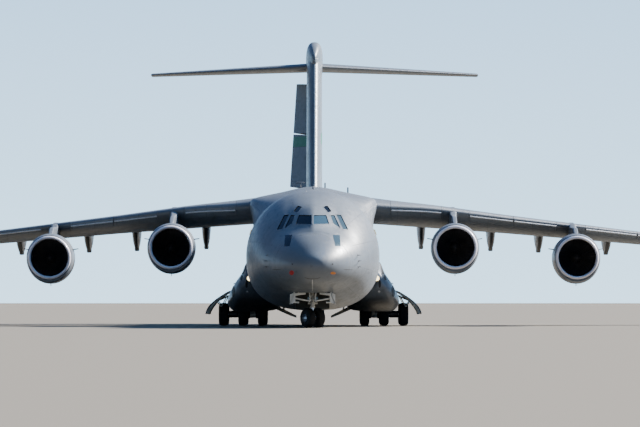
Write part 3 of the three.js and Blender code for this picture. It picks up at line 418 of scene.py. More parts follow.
def finPaint(name, stripe=True):
    # the tail's paint with its plain green band between two thin dark lines
    finish = Finish(name, Coat_Weight=0.12, Coat_Roughness=0.25)
    _, y, z = finish.axes(finish.place())
    ribs = finish.lines(z, 0.72, 0.0045, 0.1)
    spars = finish.lines(z * -0.78 + y, 1.05, 0.0045, 0.3)
    colour, roughness, height = weathered(finish, finish.most(ribs, spars))
    if stripe:
        behind = finish.ramp(z * -0.779 + y, 2.947, 2.953)
        band = finish.between(z, 5.26, 5.57, 0.003) * behind
        edges = finish.between(z, 5.245, 5.585, 0.003) * behind * (1 - band)
        cloth = finish.noise(finish.place(), 3.2, 4)
        green = finish.mix(cloth, (0.006, 0.12, 0.045), (0.012, 0.18, 0.07))
        colour = finish.mix(band, colour, green)
        colour = finish.mix(edges, colour, (0.03, 0.035, 0.035))
    return finish.done(colour, roughness, height)


def cowlPaint(name):
    finish = Finish(name, Coat_Weight=0.15, Coat_Roughness=0.2)
    rings = finish.lines(finish.axes(finish.place())[1], 0.61, 0.004, 0.05)
    return finish.done(*weathered(finish, rings))


def plainPaint(name, light, dark, roughness=(0.35, 0.55), scale=6.0, coat=0.0, grime=0.25):
    # enamel on gear, wells and fittings: two close tones, grime in patches and fine wear
    finish = Finish(name, Coat_Weight=coat)
    vector = finish.place()
    tone = finish.noise(vector, scale, 4)
    fine = finish.noise(vector, scale * 9, 3, 0.65)
    colour = finish.mix(finish.ramp(tone, 0.3, 0.7), light, dark)
    dirt = finish.ramp(finish.noise(vector, scale * 0.6, 5, 0.65), 0.52, 0.8) * grime
    colour = finish.mix(dirt, colour, greys["grime"])
    return finish.done(colour, finish.ramp(fine, 0.25, 0.75, *roughness), fine, 0.0006)


def metal(name, light, dark, roughness=(0.25, 0.45), grain=(1, 1, 1), scale=5.0):
    # bare or heat-stained metal with a grain
    finish = Finish(name, Metallic=0.92)
    stains = finish.noise(finish.place(), scale, 4)
    brushed = finish.noise(finish.place(grain), scale * 8, 4, 0.65)
    colour = finish.mix(finish.ramp(stains, 0.3, 0.72), light, dark)
    return finish.done(colour, finish.ramp(brushed, 0.25, 0.75, *roughness), brushed, 0.0004)


def rubber(name):
    finish = Finish(name, Specular_IOR_Level=0.35)
    vector = finish.place()
    dust = finish.ramp(finish.noise(vector, 3.5, 5, 0.65), 0.42, 0.75)
    fine = finish.noise(vector, 60, 3, 0.6)
    colour = finish.mix(dust * 0.55, (0.012, 0.0125, 0.0135), (0.05, 0.046, 0.042))
    return finish.done(colour, finish.ramp(fine, 0.3, 0.7, 0.72, 0.9), fine, 0.0006)


def glazing(name, tint, roughness, coat=1.0):
    # dark coated glass, faintly streaked
    finish = Finish(
        name, Specular_IOR_Level=0.9, IOR=1.52, Metallic=0.5, Coat_Weight=coat, Coat_Roughness=0.03
    )
    streaks = finish.noise(finish.place((1, 1, 0.3)), 5, 3)
    colour = finish.mix(streaks, tint, tuple(part * 0.55 for part in tint))
    return finish.done(colour, finish.ramp(streaks, 0.3, 0.7, roughness, roughness * 2.4))


def lamp(name, colour, strength):
    finish = Finish(name, Roughness=0.15, Emission_Strength=strength, Coat_Weight=0.8)
    facets = finish.node("ShaderNodeTexVoronoi", {}, {"Vector": finish.place(), "Scale": 60.0})
    glow = finish.mix(facets, colour, tuple(min(1, part * 1.15 + 0.1) for part in colour))
    finish.link("Emission Color", glow)
    return finish.done(glow, None, facets, 0.001)


finishes = {
    "skin": skinPaint("fuselage_paint"),
    "radome": skinPaint("radome_paint"),
    # the pods' paint carries painted shade underneath
    "pod": skinPaint("gear_pod_paint_and_painted_shade", paintedShade=0.85),
    "wing": wingPaint("wing_paint", 27, 1.24),
    # painted reflection: the slats take the lighter grey as their base, standing for the sky's reflection
    # on the leading edge
    "slat": wingPaint("slat_paint_and_painted_reflection", 27, 0.62, "lightPaintAndReflection"),
    "tailplane": wingPaint("tailplane_paint", 25, 0.92),
    "fin": finPaint("fin_paint"),
    "cap": finPaint("fin_cap_paint", stripe=False),
    "cowl": cowlPaint("cowl_paint"),
    "lip": plainPaint("lip_finish", (0.78, 0.77, 0.84), (0.66, 0.65, 0.72), (0.3, 0.45), 6.0, 0.3, 0.12),
    # painted shade: the duct liner and the fan blades are near black inside the engine
    "duct": plainPaint("duct_liner_and_painted_shade", (0.03, 0.031, 0.034), (0.018, 0.019, 0.021), (0.5, 0.7), 9.0),
    "fan": metal("fan_blades", (0.035, 0.035, 0.04), (0.018, 0.018, 0.022), (0.4, 0.6)),
    "spinner": plainPaint("spinner_paint", (0.012, 0.012, 0.014), (0.008, 0.008, 0.009), (0.4, 0.6)),
    "hot": metal("exhaust_metal", (0.30, 0.25, 0.20), (0.12, 0.10, 0.11), (0.35, 0.6), grain=(1, 0.2, 1)),
    "white": plainPaint("gear_enamel", (0.80, 0.80, 0.77), (0.64, 0.64, 0.61), (0.3, 0.5), 7.0, 0.2),
    "cream": plainPaint("door_lining", (0.62, 0.60, 0.52), (0.48, 0.46, 0.39), (0.4, 0.6), 6.0),
    # the bays' paint is darkened with painted shade
    "well": plainPaint("bay_paint_and_painted_shade", (0.07, 0.076, 0.07), (0.04, 0.044, 0.04), (0.5, 0.7), 4.0),
    "steel": metal("polished_steel", (0.72, 0.72, 0.74), (0.55, 0.55, 0.58), (0.12, 0.25)),
    "hub": metal("wheel_alloy", (0.62, 0.66, 0.72), (0.42, 0.46, 0.52), (0.35, 0.55)),
    "brake": metal("brake_steel", (0.14, 0.13, 0.13), (0.06, 0.055, 0.055), (0.45, 0.65)),
    "rubber": rubber("tyre_rubber"),
    "glass": glazing("window_glass", (0.1, 0.2, 0.27), 0.05),
    "pane": glazing("side_glass", (0.12, 0.2, 0.24), 0.09),
    # painted shade: a near-black copy of the glass, for panes that are dark in shade
    "glassInPaintedShade": glazing("glass_in_painted_shade", (0.012, 0.018, 0.028), 0.08, 0.25),
    "seam": plainPaint("seam_filler", (0.035, 0.037, 0.04), (0.022, 0.023, 0.026), (0.5, 0.7), 14.0),
    # light trim, and the painted highlight along the slats' edges
    "bright": plainPaint("light_trim_and_painted_highlight", (0.62, 0.63, 0.64), (0.48, 0.49, 0.5), (0.3, 0.5), 14.0),
    "frame": plainPaint("window_frames", (0.14, 0.15, 0.165), (0.09, 0.097, 0.11), (0.4, 0.6), 12.0),
    "black": plainPaint("dark_fittings", (0.022, 0.023, 0.025), (0.012, 0.012, 0.014), (0.5, 0.75), 12.0),
    "liner": plainPaint("hold_lining", (0.33, 0.35, 0.34), (0.24, 0.255, 0.25), (0.5, 0.7), 2.5),
    "deck": metal("hold_floor", (0.34, 0.34, 0.34), (0.2, 0.2, 0.205), (0.4, 0.6), scale=2.5),
    "landing": lamp("landing_lamp", (1.0, 0.7, 0.36), 5.0),
    "amber": lamp("formation_strip", (0.85, 0.6, 0.1), 0.35),
    "red": lamp("red_lamp", (0.6, 0.02, 0.015), 0.25),
    "spot": plainPaint("red_cover", (0.42, 0.03, 0.025), (0.3, 0.02, 0.02), (0.45, 0.65), 20.0),
    "orange": plainPaint("orange_cover", (0.72, 0.22, 0.03), (0.55, 0.16, 0.02), (0.45, 0.65), 20.0),
}
print("finishes made:", len(finishes))


# Fuselage
hull = {
    "rows": [
        # station, half width, top, bottom, height of the widest point, squareness of the lower half
        (0.0, 0.0, 3.14, 3.14, 3.14, 2),
        (0.1, 0.5, 3.5, 2.8, 3.14, 2),
        (0.35, 0.9, 3.8, 2.55, 3.16, 2),
        (1.0, 1.5, 4.35, 2.22, 3.22, 2.1),
        (1.85, 2.02, 4.86, 2.04, 3.3, 2.2),
        (2.6, 2.38, 5.2, 1.93, 3.38, 2.3),
        (3.4, 2.69, 5.75, 1.78, 3.45, 2.4),
        (4.2, 2.92, 6.2, 1.5, 3.52, 2.35),
        (5.0, 3.1, 6.53, 1.25, 3.58, 2.4),
        (5.8, 3.23, 6.8, 1.06, 3.62, 2.45),
        (6.8, 3.35, 6.98, 0.94, 3.65, 2.5),
        (8.5, 3.43, 7.09, 0.88, 3.66, 2.55),
        (33.0, 3.43, 7.09, 0.88, 3.66, 2.55),
        (35.0, 3.36, 7.09, 1.45, 3.9, 3.1),
        (37.0, 3.2, 7.09, 2.03, 4.2, 3.4),
        (39.0, 2.9, 7.05, 2.62, 4.5, 3.4),
        (41.0, 2.5, 6.98, 3.23, 4.8, 3.3),
        (43.0, 2.05, 6.86, 3.85, 5.1, 3),
        (45.0, 1.6, 6.7, 4.45, 5.4, 2.7),
        (47.0, 1.0, 6.45, 5.05, 5.65, 2.3),
        (48.0, 0.6, 6.2, 5.35, 5.72, 2),
        (48.5, 0.3, 5.95, 5.5, 5.72, 2),
    ],
    "around": 128,
    "radomeEnd": 1.85,
    "forwardEnd": 9.6,
    "centreEnd": 31.5,
    "joint": 0.004,
    "end": 48.5,
}
hullAt = smoothTable(hull["rows"], sqrt)
# the windscreen's two faces meet in a ridge
brow = {"forward": 0.5, "half": 1.2, "rise": (4.7, 5.3), "fall": (6.0, 7.05), "back": 7.4}


def hullPoint(y, angle, out=0.0):
    halfWidth, top, bottom, waist, square = hullAt(y)
    across, above, below = halfWidth + out, top + out - waist, waist - bottom + out
    c, s = cos(angle), sin(angle)
    if s >= 0:
        x, z = max(across, 0) * c, waist + max(above, 0) * s
        if y < brow["back"]:
            pull = brow["forward"] * max(0, 1 - abs(x) / brow["half"])
            y -= pull * easeStep(z, *brow["rise"]) * (1 - easeStep(z, *brow["fall"]))
        return x, y, z
    c, s = copysign(abs(c) ** (2 / square), c), abs(s) ** (2 / square)
    return max(across, 0) * c, y, waist - max(below, 0) * s


def hullSide(y, z, out=0.0):
    # how far out the skin is at a station and height
    halfWidth, top, bottom, waist, square = hullAt(y)
    if z >= waist:
        share = min(1, (z - waist) / max(0.001, top + out - waist))
        return (halfWidth + out) * sqrt(1 - share * share)
    share = min(1, (waist - z) / max(0.001, waist - bottom + out))
    return (halfWidth + out) * (1 - share**square) ** (1 / square)


def hullTube(y0, y1, along, out=0.0):
    def place(u, v):
        return hullPoint(round(y0 + (y1 - y0) * v, 6), 2 * pi * u, out)

    return tube(hull["around"], along, place)


cockpit = {"front": 2.0, "back": 7.0, "floor": 4.2, "skin": 0.1, "windowDepth": (1.4, 4.7), "corner": 0.03}
windows = [
    # each pane as seen from the front: across, height
    [(0.05, 5.22), (0.84, 5.24), (0.69, 5.69), (0.05, 5.68)],
    [(1.04, 5.26), (1.41, 5.02), (1.1, 5.7), (0.9, 5.69)],
    [(1.53, 4.98), (1.8, 4.95), (1.44, 5.7), (1.2, 5.73)],
    [(0.77, 5.82), (0.96, 5.89), (0.75, 6.18), (0.54, 6.12)],
]
# the crew door swings about its sill, so its edge is round about the hinge
crewDoor = {"front": 7.6, "back": 8.5, "sill": 1.68, "inner": 2.62, "reach": 1.83, "cove": 0.15}
crewDoor["hinge"] = hullAt(8)[0] * 0.84
holdOutline = [(-2.7, 1.63), (2.7, 1.63), (2.7, 4.4), (2.3, 5.15), (1.5, 5.45)]
holdOutline += [(-1.5, 5.45), (-2.3, 5.15), (-2.7, 4.4)]


def windowCutters(grow=0.0, depth=cockpit["windowDepth"]):
    cutters = []
    for outline in windows:
        midX = sum(x for x, _ in outline) / 4
        midZ = sum(z for _, z in outline) / 4
        corners = []
        for x, z in outline:
            away = Vector((x - midX, z - midZ))
            away *= 1 + grow * 1.35 / away.length
            corners.append((midX + away.x, depth[0], midZ + away.y))
        cutter = prism(corners, (0, depth[1] - depth[0], 0), cockpit["corner"] + grow * 0.6)
        cutters += [mirrored(cutter), cutter]
    return cutters


def crewDoorSpace(margin):
    x, z = crewDoor["hinge"], crewDoor["sill"]
    front, back = crewDoor["front"] - margin, crewDoor["back"] + margin
    swept = bar((x, front, z), (x, back, z), crewDoor["reach"] + margin, turns=96)
    block = boxMesh(crewDoor["inner"] - margin, 9, front, back, z - margin, 9)
    return shaped(swept, [block], "INTERSECT")


def insideHull(depth):
    def test(x, y, z):
        return abs(x) < hullSide(y, z, -depth)

    return test


bays = {"nose": (-0.85, 0.85, 3.4, 6.95, -1.0, 2.4), "well": (1.85, 9, 23.75, 28.35, -1, 1.95)}
entry = (-2.6, 2.6, 7.3, 10.6, 1.63, 4.0)

radome = hullTube(0, hull["radomeEnd"] - hull["joint"], 26)
piece("radome_shell", radome, "radome", slot="radome_paint", stands=["radome"])

hullBlank = hullTube(0.5, hull["end"], 160)
forward = hullTube(hull["radomeEnd"] + hull["joint"], hull["forwardEnd"] - hull["joint"] / 2, 120)
room = hullTube(cockpit["front"], cockpit["back"], 24, -cockpit["skin"])
room = shaped(room, [boxMesh(-9, 9, 0, 9, cockpit["floor"], 9)], "INTERSECT")
coveEnds = [(crewDoor["hinge"], y, crewDoor["sill"])
            for y in (crewDoor["front"] - aircraft["gap"], crewDoor["back"] + aircraft["gap"])]
cove = bar(*coveEnds, crewDoor["cove"], turns=40)
tools = [room, boxMesh(*entry), boxMesh(*bays["nose"]), crewDoorSpace(aircraft["gap"]), cove]
forward = shaped(shaped(forward, tools), windowCutters())
recolour(forward, 1, insideHull(0.03))
# the nose bay's walls take the bay paint, darkened with painted shade
recolour(forward, 2, lambda x, y, z: z < 2.42 and abs(x) < 0.86 and 3.39 < y < 6.96)
piece("forward_skin", forward, ["skin", "liner", "well"], stands=["forward_fuselage"])
print("forward fuselage made")

door = shaped(hullTube(7.0, 9.2, 10), [crewDoorSpace(0)], "INTERSECT")
piece("crew_door_skin", door, "skin", "entry_door", stands=["crew_door"])

centre = hullTube(hull["forwardEnd"] + hull["joint"] / 2, hull["centreEnd"] - hull["joint"] / 2, 40)
holdTool = prism([(x, 9, z) for x, z in holdOutline], (0, 24, 0))
centre = shaped(centre, [holdTool])
recolour(centre, 1, insideHull(0.03))
recolour(centre, 2, lambda x, y, z: abs(x) < 2.71 and abs(z - 1.63) < 0.01)
piece("centre_skin", centre, ["skin", "liner", "deck"], stands=["centre_fuselage"])
print("centre fuselage made")

# Ramp and cargo door meet at a leaning face
rampShape = {"front": 32.33, "halfWidth": 2.7, "toe": 38.2, "heel": 1.63, "toeTop": 2.8, "knuckle": 0.05}
doorShape = {"hinge": 44.6, "frontHalf": 2.4, "backHalf": 1.2, "skin": 0.22, "knuckle": 0.05}
beyond = ((-20, 0, -20), (20, 40, 20))


def leaning(angle):
    # the axes of a box that leans back by an angle
    return xAxis, Vector((0, cos(angle), sin(angle))), Vector((0, -sin(angle), cos(angle)))


jointPoint = Vector((0, rampShape["toe"], rampShape["toeTop"]))
jointAxes = leaning(radians(21))


def rampSpace(margin):
    half = rampShape["halfWidth"] + margin
    block = boxMesh(-half, half, rampShape["front"] - margin, 60, -1, 4.3)
    point = jointPoint + jointAxes[1] * margin
    return shaped(block, [turnedBox(point, jointAxes, *beyond)])


def cargoDoorSpace(margin):
    front, back = doorShape["frontHalf"] + margin, doorShape["backHalf"] + margin
    start, end = rampShape["toe"] - 0.6, doorShape["hinge"] + margin
    block = prism([(-front, start, 0), (front, start, 0), (back, end, 0), (-back, end, 0)], (0, 0, 4.75))
    point = jointPoint + jointAxes[1] * (aircraft["gap"] - 1.5 * margin)
    return shaped(block, [turnedBox(point, jointAxes, *beyond)], "INTERSECT")


rampHinge, doorHinge = 0.93, hullAt(doorShape["hinge"])[2] + doorShape["knuckle"]
aft = hullTube(hull["centreEnd"] + hull["joint"] / 2, hull["end"], 100)
overRamp = boxMesh(-2.74, 2.74, 32.2, 38.2, 1.63, 5.9)
overDoor = boxMesh(-9, 9, 38.1, doorShape["hinge"] + 0.3, 2.4, 6.3)
aftRoom = shaped(hullTube(30, 47, 80, -0.16), [shaped(overRamp, [overDoor], "UNION")], "INTERSECT")
holdEnd = prism([(x, 30.5, z) for x, z in holdOutline], (0, 2.9, 0))


def knuckle(y, z, half, radius=0.05):
    return bar((-half, y, z), (half, y, z), radius, turns=28)


seats = [knuckle(rampShape["front"], rampHinge, 0.63, 0.052)]
seats.append(knuckle(doorShape["hinge"], doorHinge, 0.28, 0.052))
aft = shaped(aft, [holdEnd, aftRoom, rampSpace(aircraft["gap"]), cargoDoorSpace(aircraft["gap"]), *seats])
recolour(aft, 1, insideHull(0.03))
recolour(aft, 2, lambda x, y, z: abs(x) < 2.71 and abs(z - 1.63) < 0.01 and y < 33)
piece("aft_skin", aft, ["skin", "liner", "deck"], stands=["aft_fuselage"])
print("aft fuselage made")

under = [(rampShape["front"], -1), (40.2, -1), (40.2, 3.2), (rampShape["toe"], rampShape["toeTop"])]
under.append((rampShape["front"], rampShape["heel"]))
ramp = shaped(
    hullTube(31.5, 42, 40), [rampSpace(0), prism([(-4, y, z) for y, z in under], (8, 0, 0))], "INTERSECT"
)
ramp = gather(ramp, knuckle(rampShape["front"], rampHinge, 0.6))
recolour(ramp, 1, lambda x, y, z: z > 1.6 and insideHull(0.03)(x, y, z))
piece("ramp_floor_and_skin", ramp, ["skin", "deck"], "ramp", stands=["cargo_ramp"])

cargoDoor = shaped(hullTube(36, 46, 60), [hullTube(35.5, 46.5, 60, -doorShape["skin"])])
cargoDoor = shaped(cargoDoor, [cargoDoorSpace(0)], "INTERSECT")
behindHinge = turnedBox((0, doorShape["hinge"], doorHinge), leaning(radians(20)), (-9, 0, -9), (9, 20, 9))
cargoDoor = shaped(cargoDoor, [behindHinge])
cargoDoor = gather(cargoDoor, knuckle(doorShape["hinge"], doorHinge, 0.25))
recolour(cargoDoor, 1, insideHull(0.05))
piece("cargo_door_skin", cargoDoor, ["skin", "liner"], "rear_door", stands=["cargo_door"])
print("ramp and doors made")

# Cockpit glazing
paneWall = shaped(hullTube(1.45, 4.8, 30, -0.03), [hullTube(1.4, 4.9, 30, -0.06)])
panes = gather(*(shaped(paneWall.copy(), [cutter], "INTERSECT") for cutter in windowCutters(0.03)))
recolour(panes, 1, lambda x, y, z: x > 0.87)
# painted shade: the panes on the right side and the upper ones take the near-black glass
recolour(panes, 2, lambda x, y, z: x < 0 or z > 5.75)
piece("cockpit_panes", panes, ["glass", "pane", "glassInPaintedShade"], slot="windscreen", stands=["cockpit_glass"])
rimWall = shaped(hullTube(1.45, 4.8, 60, 0.006), [hullTube(1.4, 4.9, 60, -0.05)])
rims = []
for outer, inner in zip(windowCutters(0.045), windowCutters(0, depth=(1.3, 4.8))):
    rims.append(shaped(shaped(rimWall.copy(), [outer], "INTERSECT"), [inner]))
rims = gather(*rims)
piece("window_frames", rims, "skin")
print("cockpit glazing made")

# Fairing over the wing's centre section
saddle = smoothTable([
    # station, half width, top, bottom
    (14.6, 1.2, 7.08, 6.75), (15.4, 2.2, 7.25, 6.5), (16.8, 3.0, 7.42, 6.15),
    (18.6, 3.41, 7.5, 5.8), (20.8, 3.41, 7.5, 5.3), (22.0, 3.41, 7.5, 5.2),
    (30.0, 3.41, 7.5, 5.2), (31.6, 2.9, 7.36, 5.7), (33.4, 1.4, 7.08, 6.6),
])
# share of the half width, fall from the top of the full section
saddleArch = smoothTable(
    [(0, 0), (0.2, 0.08), (0.49, 0.3), (0.735, 0.47), (0.9, 0.6), (0.97, 0.72), (1, 0.95)]
)
# where the fairing rises out of the fuselage, and how far round it starts
saddleFront = {"from": 13.9, "full": 18.8, "inset": 0.03, "angles": (50, 78)}
saddleFull = {"half": 3.41, "front": 18.6, "back": 33.4}


def fullSaddle(u, y):
    halfWidth, top, bottom = saddle(y)
    bend = (halfWidth / saddleFull["half"]) ** 2
    side = 1 if u < 0.5 else -1
    t = 4 * (u if u < 0.5 else 1 - u)  # 0 at the crown, 2 under the fuselage
    if t < 1:
        share = sin(t * pi / 2)
        return side * halfWidth * share, top - saddleArch(share)[0] * bend
    edge = top - 0.95 * bend
    s = t - 1
    return side * halfWidth * (1 - 0.035 * s - 0.19 * s**4), edge + (bottom - 0.25 - edge) * s


def saddlePoint(u, v):
    # the front of the fairing rises smoothly out of the fuselage
    y = saddleFront["from"] + (saddleFull["back"] - saddleFront["from"]) * v
    share = easeStep(y, saddleFront["from"], saddleFront["full"])
    x, z = fullSaddle(u, max(y, saddleFull["front"]) if share < 1 else y)
    if share == 1:
        return x, y, z
    t = 4 * min(u, 1 - u)
    middle, low = saddleFront["angles"]
    angle = radians(t * middle if t < 1 else middle + (t - 1) * (low - middle))
    across, hullTop, _, waist, _ = hullAt(y)
    hullX = (across - saddleFront["inset"]) * sin(angle) * (1 if u < 0.5 else -1)
    hullZ = waist + (hullTop - saddleFront["inset"] - waist) * cos(angle)
    return hullX + (x - hullX) * share, y, hullZ + (z - hullZ) * share


fairing = shaped(tube(112, 70, saddlePoint), [hullBlank.copy()])
piece("wing_centre_fairing", fairing, "skin", stands=["wing_fairing"])
print("wing fairing made")


# Gear pods
pod = {
    "outline": [(1.9, 1.5), (1.9, 0.98), (2.4, 0.83), (4.05, 0.8), (4.4, 0.92), (4.6, 1.25), (4.54, 1.65),
                (4.22, 2.28), (3.83, 2.85), (3.5, 3.5), (2.6, 3.9)],
    "frames": [(15.9, 0.0), (16.05, 0.35), (16.5, 0.62), (17.4, 0.86), (18.8, 1), (28.9, 1), (30.6, 0.82),
               (32.0, 0.45), (32.8, 0.12)],
    "centre": (3.62, 2.3), "front": 15.9, "length": 16.9, "around": 88, "widest": 4.62, "lowest": 0.8,
}


def roundedOutline(points, count):
    # a closed curve through the points of an outline, evenly spread
    found = []
    total = len(points)
    for i in range(count):
        t = i / count * total
        k, s = int(t), t - int(t)
        p = [Vector(points[(k + step) % total]) for step in (-1, 0, 1, 2)]
        a = (p[2] - p[0]) * 0.4
        b = (p[3] - p[1]) * 0.4
        ease = s * s * (3 - 2 * s)
        found.append(p[1] + (p[2] - p[1]) * ease + a * s * (1 - s) ** 2 - b * s * s * (1 - s))
    return found


podShare = smoothTable(pod["frames"], lambda y: sqrt(y - 15.899))
podRing = roundedOutline(pod["outline"], pod["around"])


def podPoint(u, v):
    along = v**1.4 if v < 0.5 else v + (0.5**1.4 - 0.5) * (1 - v) * 2
    y = pod["front"] + pod["length"] * along
    share = podShare(y)[0]
    corner = podRing[round(u * pod["around"]) % pod["around"]]
    x, z = (pod["centre"][i] + (corner[i] - pod["centre"][i]) * share for i in (0, 1))
    return min(x, pod["widest"]), y, max(z, pod["lowest"])


podMesh = shaped(tube(pod["around"], 84, podPoint), [hullBlank.copy(), boxMesh(*bays["well"])])


def insideWell(x, y, z):
    # the inner wall, the two end walls and the roof of the bay
    return 23.7 < y < 28.4 and z < 1.96 and (x < 4.3 and z > 0.95 or not 23.76 < y < 28.34 or z > 1.94)


# the wheel bay's walls take the bay paint, darkened with painted shade
recolour(podMesh, 1, insideWell)
bothSides("pod_skin", podMesh, ["pod", "well"], stands=["pod_%"])
print("gear pods made")


# Wing
wing = {"root": 3.55, "kink": 10.5, "tip": 25.15, "apex": 17.2, "sweep": tan(radians(28)), "around": 72,
        "chords": (12.0, 7.3, 3.2), "thickness": (0.133, 0.131), "hinge": 0.75, "noseUp": 0.042}
flaps = {
    # inner end, outer end, first fairing, its bottom, second fairing, its bottom
    "inboard": (4.08, 10.75, 5.95, 4.27, 9.83, 4.17),
    "outboard": (11.08, 18.2, 12.53, 4.09, 16.37, 3.98),
}
flapHinge = {"knuckle": 0.13, "knuckleHalf": 0.115, "soft": 0.035, "seat": 0.142, "seatHalf": 0.26}
aileronEnds = (18.5, 24.0)
farOut = 60


def halfThickness(s):
    s = max(s, 0)
    return 5 * (0.2969 * sqrt(s) - 0.126 * s - 0.3516 * s**2 + 0.2843 * s**3 - 0.1015 * s**4)


def wingRow(x):
    inner, middle, outer = wing["chords"]
    if x <= wing["kink"]:
        chord = inner + (middle - inner) * x / wing["kink"]
    else:
        chord = middle + (outer - middle) * (x - wing["kink"]) / (wing["tip"] - wing["kink"])
    ratio = wing["thickness"][0] + (wing["thickness"][1] - wing["thickness"][0]) * x / wing["tip"]
    return x, wing["apex"] + wing["sweep"] * x, 6.175 - 0.0948 * (x - 3.9), chord, ratio * chord, 0.0


def noseRise(x, s, chord):
    # how far the nose turns up, less beside the fuselage
    share = (0.45 + 0.55 * easeStep(x, 3, 7)) * (1 - easeStep(x, 19, 25))
    return wing["noseUp"] * chord * max(0, 1 - s / 0.3) ** 2 * share


def foilPoint(row, step, count, noseUp=0):
    # a point round an aerofoil, from the middle of its trailing edge over the top and back below
    x, y, z, chord, thickness, roll = row
    if step in (0, count):
        s, side = 1.0, 0
    else:
        t = (step - 1) / (count - 2)
        s, side = (1 + cos(2 * pi * t)) / 2, 1 if t < 0.5 else -1
        if abs(t - 0.5) < 1e-9:
            side = 0
    lift = side * halfThickness(s) * thickness + noseRise(x, s, chord) * noseUp
    return x - lift * sin(roll), y + s * chord, z + lift * cos(roll)


def foilSurface(rows, around=wing["around"], noseUp=0):
    def place(u, v):
        return foilPoint(rows[round(v * (len(rows) - 1))], round(u * around), around, noseUp)

    return tube(around, len(rows) - 1, place)


def steps(start, end, count):
    return [start + (end - start) * i / count for i in range(count + 1)]


def wingAt(x, share):
    row = wingRow(x)
    return Vector((x, row[1] + share * row[3], row[2]))


def block(origin, along, aft, low, high):
    # a box along a hinge line, its third axis square to both
    along, aft = along.normalized(), aft.normalized()
    return turnedBox(origin, (along, aft, along.cross(aft)), low, high)


def flapAxis(name):
    inner, outer, at0, low0, at1, low1 = flaps[name]
    a, b = wingAt(inner, wing["hinge"]), wingAt(outer, wing["hinge"])
    for point in (a, b):
        point.z = low0 + (low1 - low0) * (point.x - at0) / (at1 - at0) + 0.08
    along = (b - a).normalized()
    aft = along.cross(Vector((0, 0, -1))).normalized()
    return a, b, along, aft * (1 if aft.y > 0 else -1)


fairingRows = (
    # distance aft of the hinge line, height above the lowest point, share of the full width;
    # None is a height just under the wing's middle
    (-2.9, None, 0.3), (-1.45, 0.35, 0.95), (-0.3, 0.02, 1), (-0.06, 0, 1),
    (0.4, 0.17, 1), (1.56, 0.62, 0.8), (2.6, None, 0.25),
)


def hingeEnds(point, along, half):
    return point - along * half, point + along * half


def fairingMesh(name, x):
    a, _, along, _ = flapAxis(name)
    point = a + along * ((x - a.x) / along.x)
    low, high = point.z - 0.13, wingRow(x)[2]
    rows = [(y, (high - 0.1 if lift is None else low + lift), share) for y, lift, share in fairingRows]
    look = smoothTable(rows)

    def bottomAt(y):
        return look(y - point.y)[0]

    def place(u, v):
        y = -2.9 + 5.5 * v
        bottom, share = look(y)
        angle = 2 * pi * u
        c, s = cos(angle), sin(angle)
        height = (s + 1) / 2
        half = (0.1 + 0.21 * height**0.8) * share
        across = copysign(abs(c) ** 0.62, c)
        up = (copysign(abs(s) ** 0.72, s) + 1) / 2
        return x + half * across, point.y + y, bottom + (high - bottom) * up

    body = tube(28, 60, place)
    # the faces near the bottom of each fairing take the darker second finish
    recolour(body, 1, lambda x, y, z: z < bottomAt(y) + 0.09)
    return body, point


wingRows = [
    wingRow(x)
    for x in steps(wing["root"] - 0.4, wing["kink"], 8) + steps(wing["kink"], wing["tip"], 14)[1:]
]
wingMesh = foilSurface(wingRows, noseUp=1)
wingBlank = wingMesh.copy()
for name in flaps:
    a, b, along, aftward = flapAxis(name)
    reach = (b - a).length
    gap = aircraft["gap"]
    region = block(a, along, aftward, (0, 0, -farOut), (reach, farOut, farOut))
    flap = shaped(wingBlank.copy(), [region], "INTERSECT")
    if name == "inboard":
        flap = shaped(flap, [boxMesh(0, wing["root"] + 0.17, 0, 60, 0, 20)])
    room = block(a, along, aftward, (-gap, -gap, -farOut), (reach + gap, farOut, farOut))
    wingMesh = shaped(wingMesh, [room])
    moving, fixed = [flap], []
    for x in (flaps[name][2], flaps[name][4]):
        body, point = fairingMesh(name, x)
        behind, room = (
            block(a, along, aftward, (-9, start, -farOut), (farOut,) * 3) for start in (0, -gap)
        )
        moving.append(shaped(body.copy(), [behind], "INTERSECT"))
        knuckleEnds = hingeEnds(point, along, flapHinge["knuckleHalf"])
        moving.append(bar(*knuckleEnds, flapHinge["knuckle"], turns=40, soft=flapHinge["soft"]))
        seatEnds = hingeEnds(point, along, flapHinge["seatHalf"])
        fixed.append(shaped(body, [room, bar(*seatEnds, flapHinge["seat"], turns=40)]))
    coats, node = ["wing", "seam"], "flap_" + name
    bothSides(node + "_skin", gather(*moving), coats, "flap_panel_" + name + "_%", stands=[node + "_%"])
    bothSides("flap_fairings_" + name, gather(*fixed), coats)
print("flaps made")


def hingeSpace(a, b, radiusA, radiusB, aftward, ends, margin, endGaps):
    # what a hinged surface takes up, with a round nose, between two end faces
    along = (b - a).normalized()
    behind = block(a, along, aftward, (-farOut, 0, -farOut), (farOut, farOut, farOut))
    nose = bar(tuple(a - along), tuple(b + along), radiusA + margin, radiusB + margin, turns=40)
    space = shaped(behind, [nose], "UNION")
    for point, normal, endGap in zip((a, b), ends, endGaps):
        normal = normal.normalized()
        other = normal.orthogonal().normalized()
        start = point + normal * (endGap if margin else 0)
        space = shaped(
            space, [turnedBox(start, (normal, other, normal.cross(other)), (0, -90, -90), (90, 90, 90))]
        )
    return space


def splitAtHinge(bm, a, b, radiusA, radiusB, aftward, ends, endGaps=(0.03, 0.03)):
    facts = (a, b, radiusA, radiusB, aftward, ends)
    moving = shaped(bm.copy(), [hingeSpace(*facts, 0, endGaps)], "INTERSECT")
    return moving, shaped(bm, [hingeSpace(*facts, aircraft["gap"], endGaps)])


